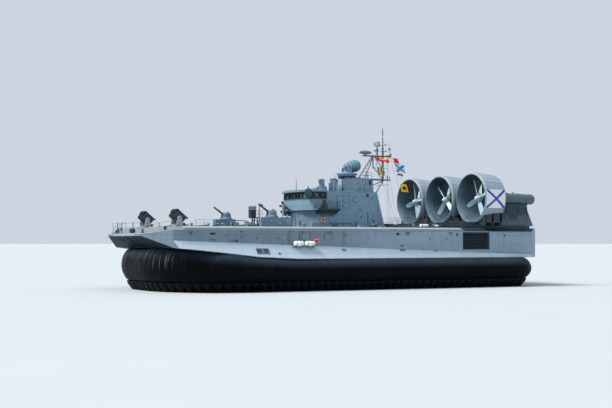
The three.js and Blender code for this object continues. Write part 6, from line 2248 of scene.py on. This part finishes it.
def fan_items():
    """Trim of the three fans: ducts, propellers, pods, pylons, cradles, housings and ladders."""
    for name, y in (("port", FAN_Y), ("centre", 0.0), ("starboard", -FAN_Y)):
        rings = [
            hoop((x, y, FAN_Z), FORE, duct_wall(x) + 0.01, r, 72, 8)
            for x, r in [(-18.9, 0.03), (-19.8, 0.03), (-20.7, 0.03), (-21.55, 0.045)]
        ]
        ribs = []
        for k in range(24):
            t = math.radians(15 * k + 7.5)
            if name != "centre" and math.cos(t - math.copysign(math.pi / 2, y)) > 0.86:
                continue
            out = Vector((0, math.sin(t), math.cos(t)))
            ribs.append(
                [Vector((x, y, FAN_Z)) + out * (duct_wall(x) + 0.005) for x in (-18.35, -19.33, -21.55)]
            )
        lip = hoop((-18.15, y, FAN_Z), FORE, 3.3, 0.05, 72, 8)
        inner = [hoop((x, y, FAN_Z), FORE, 2.885, 0.018, 64, 6) for x in (-19.0, -20.1)]
        fit(f"duct_trim_{name}", [*rings, lip, *inner, pipes(ribs, 0.02)], duct_finish, smooth=50)
        # Thin guide bars behind the blades
        bars = [spoke(-20.15, y, turn, 0.55, 2.88) for turn in (45, 135, 225, 315)]
        fit(f"duct_bars_{name}", [pipes(bars, 0.04)], machinery)
        # Root cuffs and the spinner's ring turn with the propeller
        start = {"port": 22, "centre": 46, "starboard": 13}[name]
        cuffs = []
        for k in range(4):
            t = math.radians(start + 90 * k)
            out = Vector((0, -math.sin(t), math.cos(t)))
            spot = Vector((PROPELLER_X, y, FAN_Z))
            cuffs.append(turned([[0.15, 0.32], [0.17, 0.36], [0.15, 0.46], [0.1, 0.52]], spot, out, 16))
        cuffs.append(hoop((-19.34, y, FAN_Z), FORE, 0.425, 0.02, 28, 6))
        fit(f"propeller_cuffs_{name}", cuffs, pale_metal, body=f"propeller_{name}")
        # Engine pod: bands, lids, boxes and the hot end
        bands = [hoop((x, y, FAN_Z), FORE, 0.785, 0.02, 36, 6) for x in (-21.9, -23.2, -24.5, -25.8)]
        bands += [hoop((-27.2, y, FAN_Z), FORE, 0.715, 0.022, 36, 6)]
        lids = [
            panelled(
                (x, y + s * 0.74 - 0.06, 11.75), (x + 0.9, y + s * 0.74 + 0.06, 12.25), (0, s, 0), 0.06,
                -0.015,
            )
            for x in (-23.0, -25.3) for s in (1, -1)
        ]
        lids += [
            block((-22.6, y - 0.2, 12.72), (-22.0, y + 0.2, 12.95), 0.04),
            block((-24.4, y - 0.1, 12.76), (-24.0, y + 0.1, 12.86), 0.03),
            turned(
                [[0.12, 0], [0.1, 0.1], [0.14, 0.12], [0.14, 0.16], [0.02, 0.2]], (-25.3, y, 12.76), UP, 14,
            ),
        ]
        fit(f"pod_trim_{name}", bands + lids, pod_finish)
        dark = [
            turned([[0.6, 0], [0.58, 0.05], [0.05, 0.05]], (-28.2, y, FAN_Z), AFT, 28),
            block((-27.6, y - 0.35, 11.05), (-26.9, y + 0.35, 11.4), 0.05),
            block((-26.95, y - 0.1, 10.6), (-26.7, y + 0.1, 11.3), 0.02),
        ]
        vanes = [spoke(-28.3, y, 30 * k, 0.12, 0.6) for k in range(12)]
        cone = turned([[0.2, -0.1], [0.18, 0.1], [0.1, 0.25], [0.02, 0.32]], (-28.2, y, FAN_Z), AFT, 20)
        fit(f"pod_exhaust_{name}", [*dark, cone, pipes(vanes, 0.02)], black_steel)
        rim = [
            hoop((-28.63, y, FAN_Z), FORE, 0.61, 0.035, 40, 8),
            hoop((-28.35, y, FAN_Z), FORE, 0.725, 0.02, 40, 6),
        ]
        fit(f"pod_rim_{name}", rim, pod_finish)
        # Pylon: louvres, doors and stiffeners
        frames, backs = [], []
        across = Matrix.Translation((0, 2 * y, 0)) @ Matrix.Scale(-1, 4, PORT)
        for x, z in [(-24.6, 9.5), (-22.6, 9.4)]:
            for s in (1, -1):
                turn = on_side(x, z, y + 0.845)
                slats, back = louvre(1.3, 0.8, 6)
                if s < 0:
                    turn = across @ turn
                    for piece in [*slats, *back]:
                        piece.data.flip_normals()
                frames += placed(slats, turn)
                backs += placed(back, turn)
        frames += [
            panelled(
                (-26.6, y + s * 0.84 - 0.03, 8.5), (-26.0, y + s * 0.84 + 0.05, 10.0), (0, s, 0), 0.06,
                -0.015,
            )
            for s in (1, -1)
        ]
        frames += [
            block((x, y + s * 0.8 - 0.06, 8.3), (x + 0.06, y + s * 0.8 + 0.1, 11.0), 0.01)
            for x in (-21.8, -23.6, -25.6, -27.1) for s in (1, -1)
        ]
        fit(f"pylon_trim_{name}", frames, pylon_paint)
        fit(f"pylon_backs_{name}", backs, black_and_shade)
        # Cradles that carry the duct, and a dark block under it
        saddles = []
        for s in (1, -1):
            for x0, x1, foot in (
                (-18.75, -18.45, 8.25), (-20.0, -19.7, 8.25), (-21.35, -21.05, 8.25), (-21.5, -18.6, 8.6),
            ):
                saddle = block((x0, y + s * 1.9 - 0.75, foot), (x1, y + s * 1.9 + 0.7, 9.3), 0)
                for vertex in saddle.data.vertices:
                    if vertex.co.z > 8.8 * SCALE:
                        off = abs(vertex.co.y / SCALE - y)
                        vertex.co.z = (FAN_Z - math.sqrt(max(0.0, 3.32 ** 2 - off * off))) * SCALE
                saddles.append(soften(saddle, 0.02, 1))
        saddles.append(block((-21.4, y - 1.3, 8.25), (-18.4, y + 1.3, 8.6), 0.03))
        fit(f"duct_cradles_{name}", saddles, machinery)
    links = []
    for s in (1, -1):
        for x in (-19.0, -21.1):
            links.append(
                block((x - 0.15, s * GAP_Y - 0.55, 11.9), (x + 0.15, s * GAP_Y + 0.55, 12.1), 0.02)
            )
        links += [block((-21.3, s * GAP_Y - 0.4, 8.25), (-18.5, s * GAP_Y + 0.4, 9.35), 0.04)]
    fit("duct_links", links, machinery)
    # Low dark housings ahead of the fans, with louvres toward the bow
    middles = (6.0, 0.0, -6.0)
    house = [block((-18.2, y - 3.1, DECK), (-16.9, y + 3.1, 8.75), 0.05) for y in middles]
    rows = [(y + off, 2.4, 0.6) for y in middles for off in (-1.5, 1.5)]
    frames, backs = louvres(rows, 5, lambda y: axes_at(PORT, UP, FORE, (-16.9, y, 8.33)))
    fit("fan_housings", house, casing_paint)
    fit("fan_housing_louvres", frames, casing_paint)
    fit("fan_housing_backs", backs, black_and_shade)
    runs = []
    for y in (-GAP_Y, GAP_Y):
        runs += [[(-18.0, y + e * 0.22, DECK), (-18.0, y + e * 0.22, 11.6)] for e in (1, -1)]
        runs += [[(-18.0, y - 0.22, 8.2 + 0.3 * k), (-18.0, y + 0.22, 8.2 + 0.3 * k)] for k in range(11)]
    runs += [[(-14.4, e, DECK), (-15.2, e, 10.4)] for e in (1.6, 2.1)] + [
        [(-14.4 - 0.1 * k, 1.6, 8.1 + 0.31 * k), (-14.4 - 0.1 * k, 2.1, 8.1 + 0.31 * k)] for k in range(8)
    ]
    runs += [
        [(-15.2, 1.6, 10.4), (-16.9, 1.6, 8.75)], [(-15.2, 2.1, 10.4), (-16.9, 2.1, 8.75)],
        [(-15.2, 1.6, 10.4), (-15.2, 2.1, 10.4)],
    ]
    fit("fan_ladders", [pipes(runs, 0.024)], mast_paint)


CASING_Z = 8.4
TRANSOM_X = -28.6


def aft_casing_items():
    """Hatches, rails and vents on the low casing behind the house."""
    parts = [
        panelled((x, y - 0.5, CASING_Z), (x + 1.0, y + 0.5, 8.52), UP, 0.07, -0.03) for x in (-9.2, -11.4)
        for y in (-1.7, 1.7)
    ]
    parts += [
        panelled((x, 3.44, 7.98), (x + 0.8, 3.6, 8.34), PORT, 0.05, -0.015) for x in (-8.8, -10.4, -11.9)
    ]
    parts += [mushroom(-8.2, 0.0, 0.24, 0.9), mushroom(-12.0, 0.0, 0.2, 0.85)]
    fit("aft_casing_trim", parts, casing_paint, slot="house_grey")
    rails = railing([(-7.8, 3.3, CASING_Z), (-12.3, 3.3, CASING_Z)], 0.9, 1.5) + railing(
        [(-12.3, 3.3, CASING_Z), (-12.3, -3.3, CASING_Z)], 0.9, 1.6,
    )
    rails += railing([(-12.3, -3.3, CASING_Z), (-7.8, -3.3, CASING_Z)], 0.9, 1.5)
    fit("aft_casing_rails", [pipes(rails, 0.018)], mast_paint)


# ---------------------------------------------------------------- ends and bay
def stern_items():
    """Ribs on the stern ramp, eyes, doors and lamps on the transom, and the stern rail."""
    ribs = [
        block((-28.72, y - 0.05, 4.1), (TRANSOM_X, y + 0.05, 7.4), 0.02)
        for y in (-2.7, -1.8, -0.9, 0, 0.9, 1.8, 2.7)
    ]
    ribs += [block((-28.7, -3.1, z - 0.05), (TRANSOM_X, 3.1, z + 0.05), 0.02) for z in (4.5, 5.4, 6.3, 7.2)]
    fit("stern_ramp_ribs", ribs, side_paint, body="stern_ramp")
    eyes = [hoop((-28.7, y, 6.9), PORT, 0.12, 0.03, 18, 8) for y in (4.0, 6.4)]
    eyes += [
        block((-28.72, 5.04, 6.6), (TRANSOM_X, 5.36, 7.2), 0.03),
        block((-28.7, 3.55, 4.4), (TRANSOM_X, 3.7, 7.5), 0.02),
    ]
    eyes += [
        panelled((-28.7, 4.6, 4.7), (-28.62, 5.9, 5.9), AFT, 0.08, -0.02),
        panelled((-28.7, 6.5, 4.7), (-28.62, 7.6, 5.9), AFT, 0.08, -0.02),
    ]
    fit("transom_fittings", both(eyes), side_paint)
    lights = [turned([[0.08, 0], [0.1, 0.04], [0.07, 0.1], [0.02, 0.12]], (-28.7, 5.2, 7.0), AFT, 14)]
    fit("transom_lamps", both(lights), lamp_white, smooth=60)
    rails = railing([(-28.4, 7.9, DECK), (-28.4, -7.9, DECK)], 0.95, 1.6)
    fit("stern_rails", [pipes(rails, 0.02)], mast_paint)


def bow_ramp_z(x):
    """Height of the closed bow ramp's face."""
    return 6.75 - (BOW_X - x) * 0.5686


def bow_items():
    """Tread bars and ribs on the bow ramp, a lip along the bow's edge and lamps beside the mouth."""
    bars = []
    for k in range(7):
        x = 26.35 + 0.32 * k
        z = bow_ramp_z(x) + 0.2
        bars.append([(x, -3.0, z + 0.03), (x, 3.0, z + 0.03)])
    fit("bow_ramp_bars", [pipes(bars, 0.04)], tread, body="bow_ramp")
    under = []
    for y in (-2.4, -0.8, 0.8, 2.4):
        rib = block((26.5, y - 0.05, -0.06), (28.4, y + 0.05, 0.02), 0.01)
        for vertex in rib.data.vertices:
            x = vertex.co.x / SCALE
            vertex.co.z += (bow_ramp_z(x) - 0.01) * SCALE
        under.append(rib)
    fit("bow_ramp_ribs", under, pontoon_paint_and_shade, body="bow_ramp")
    lip = [
        [(28.62, y, 6.96) for y in (-6.2, -3.0, 0.0, 3.0, 6.2)], [(28.62, 6.2, 6.96), (26.2, 10.45, 7.42)],
        [(28.62, -6.2, 6.96), (26.2, -10.45, 7.42)],
    ]
    fit("bow_lip", [pipes(lip, 0.04)], side_paint)
    lights = [
        turned([[0.09, 0], [0.11, 0.04], [0.08, 0.1], [0.02, 0.12]], (28.5, 4.2, 6.86), (1, 0, 0.2), 14)
    ]
    fit("bow_lamps", both(lights), lamp_white, smooth=60)


def bay_items():
    """Frames, beams, rails and lamps in the vehicle bay."""
    places = [-27 + 2.2 * k for k in range(22)]
    frames_made = [block((x, 3.2, 4.1), (x + 0.14, 3.29, 7.55), 0.015) for x in places]
    beams = [block((x, -3.2, 7.44), (x + 0.14, 3.2, 7.59), 0.015) for x in places]
    rails = [[(-27.5, 3.22, z), (19.5, 3.22, z)] for z in (5.0, 6.6)]
    fit("bay_frames", both(frames_made) + beams, pontoon_paint_and_shade)
    fit("bay_rails", both([pipes(rails, 0.035)]), machinery)
    lamps = [
        drum((x, 2.2, 7.36), (x + 0.9, 2.2, 7.36), 0.07, sides=12)
        for x in [-25.0 + 4.4 * k for k in range(11)]
    ]
    fit("bay_lamps", both(lamps), lamp_white, smooth=60)


flags()
deck_items()
deck_rails()
gun_items()
sight_items()
launcher_items()
fan_items()
aft_casing_items()
stern_items()
bow_items()
bay_items()
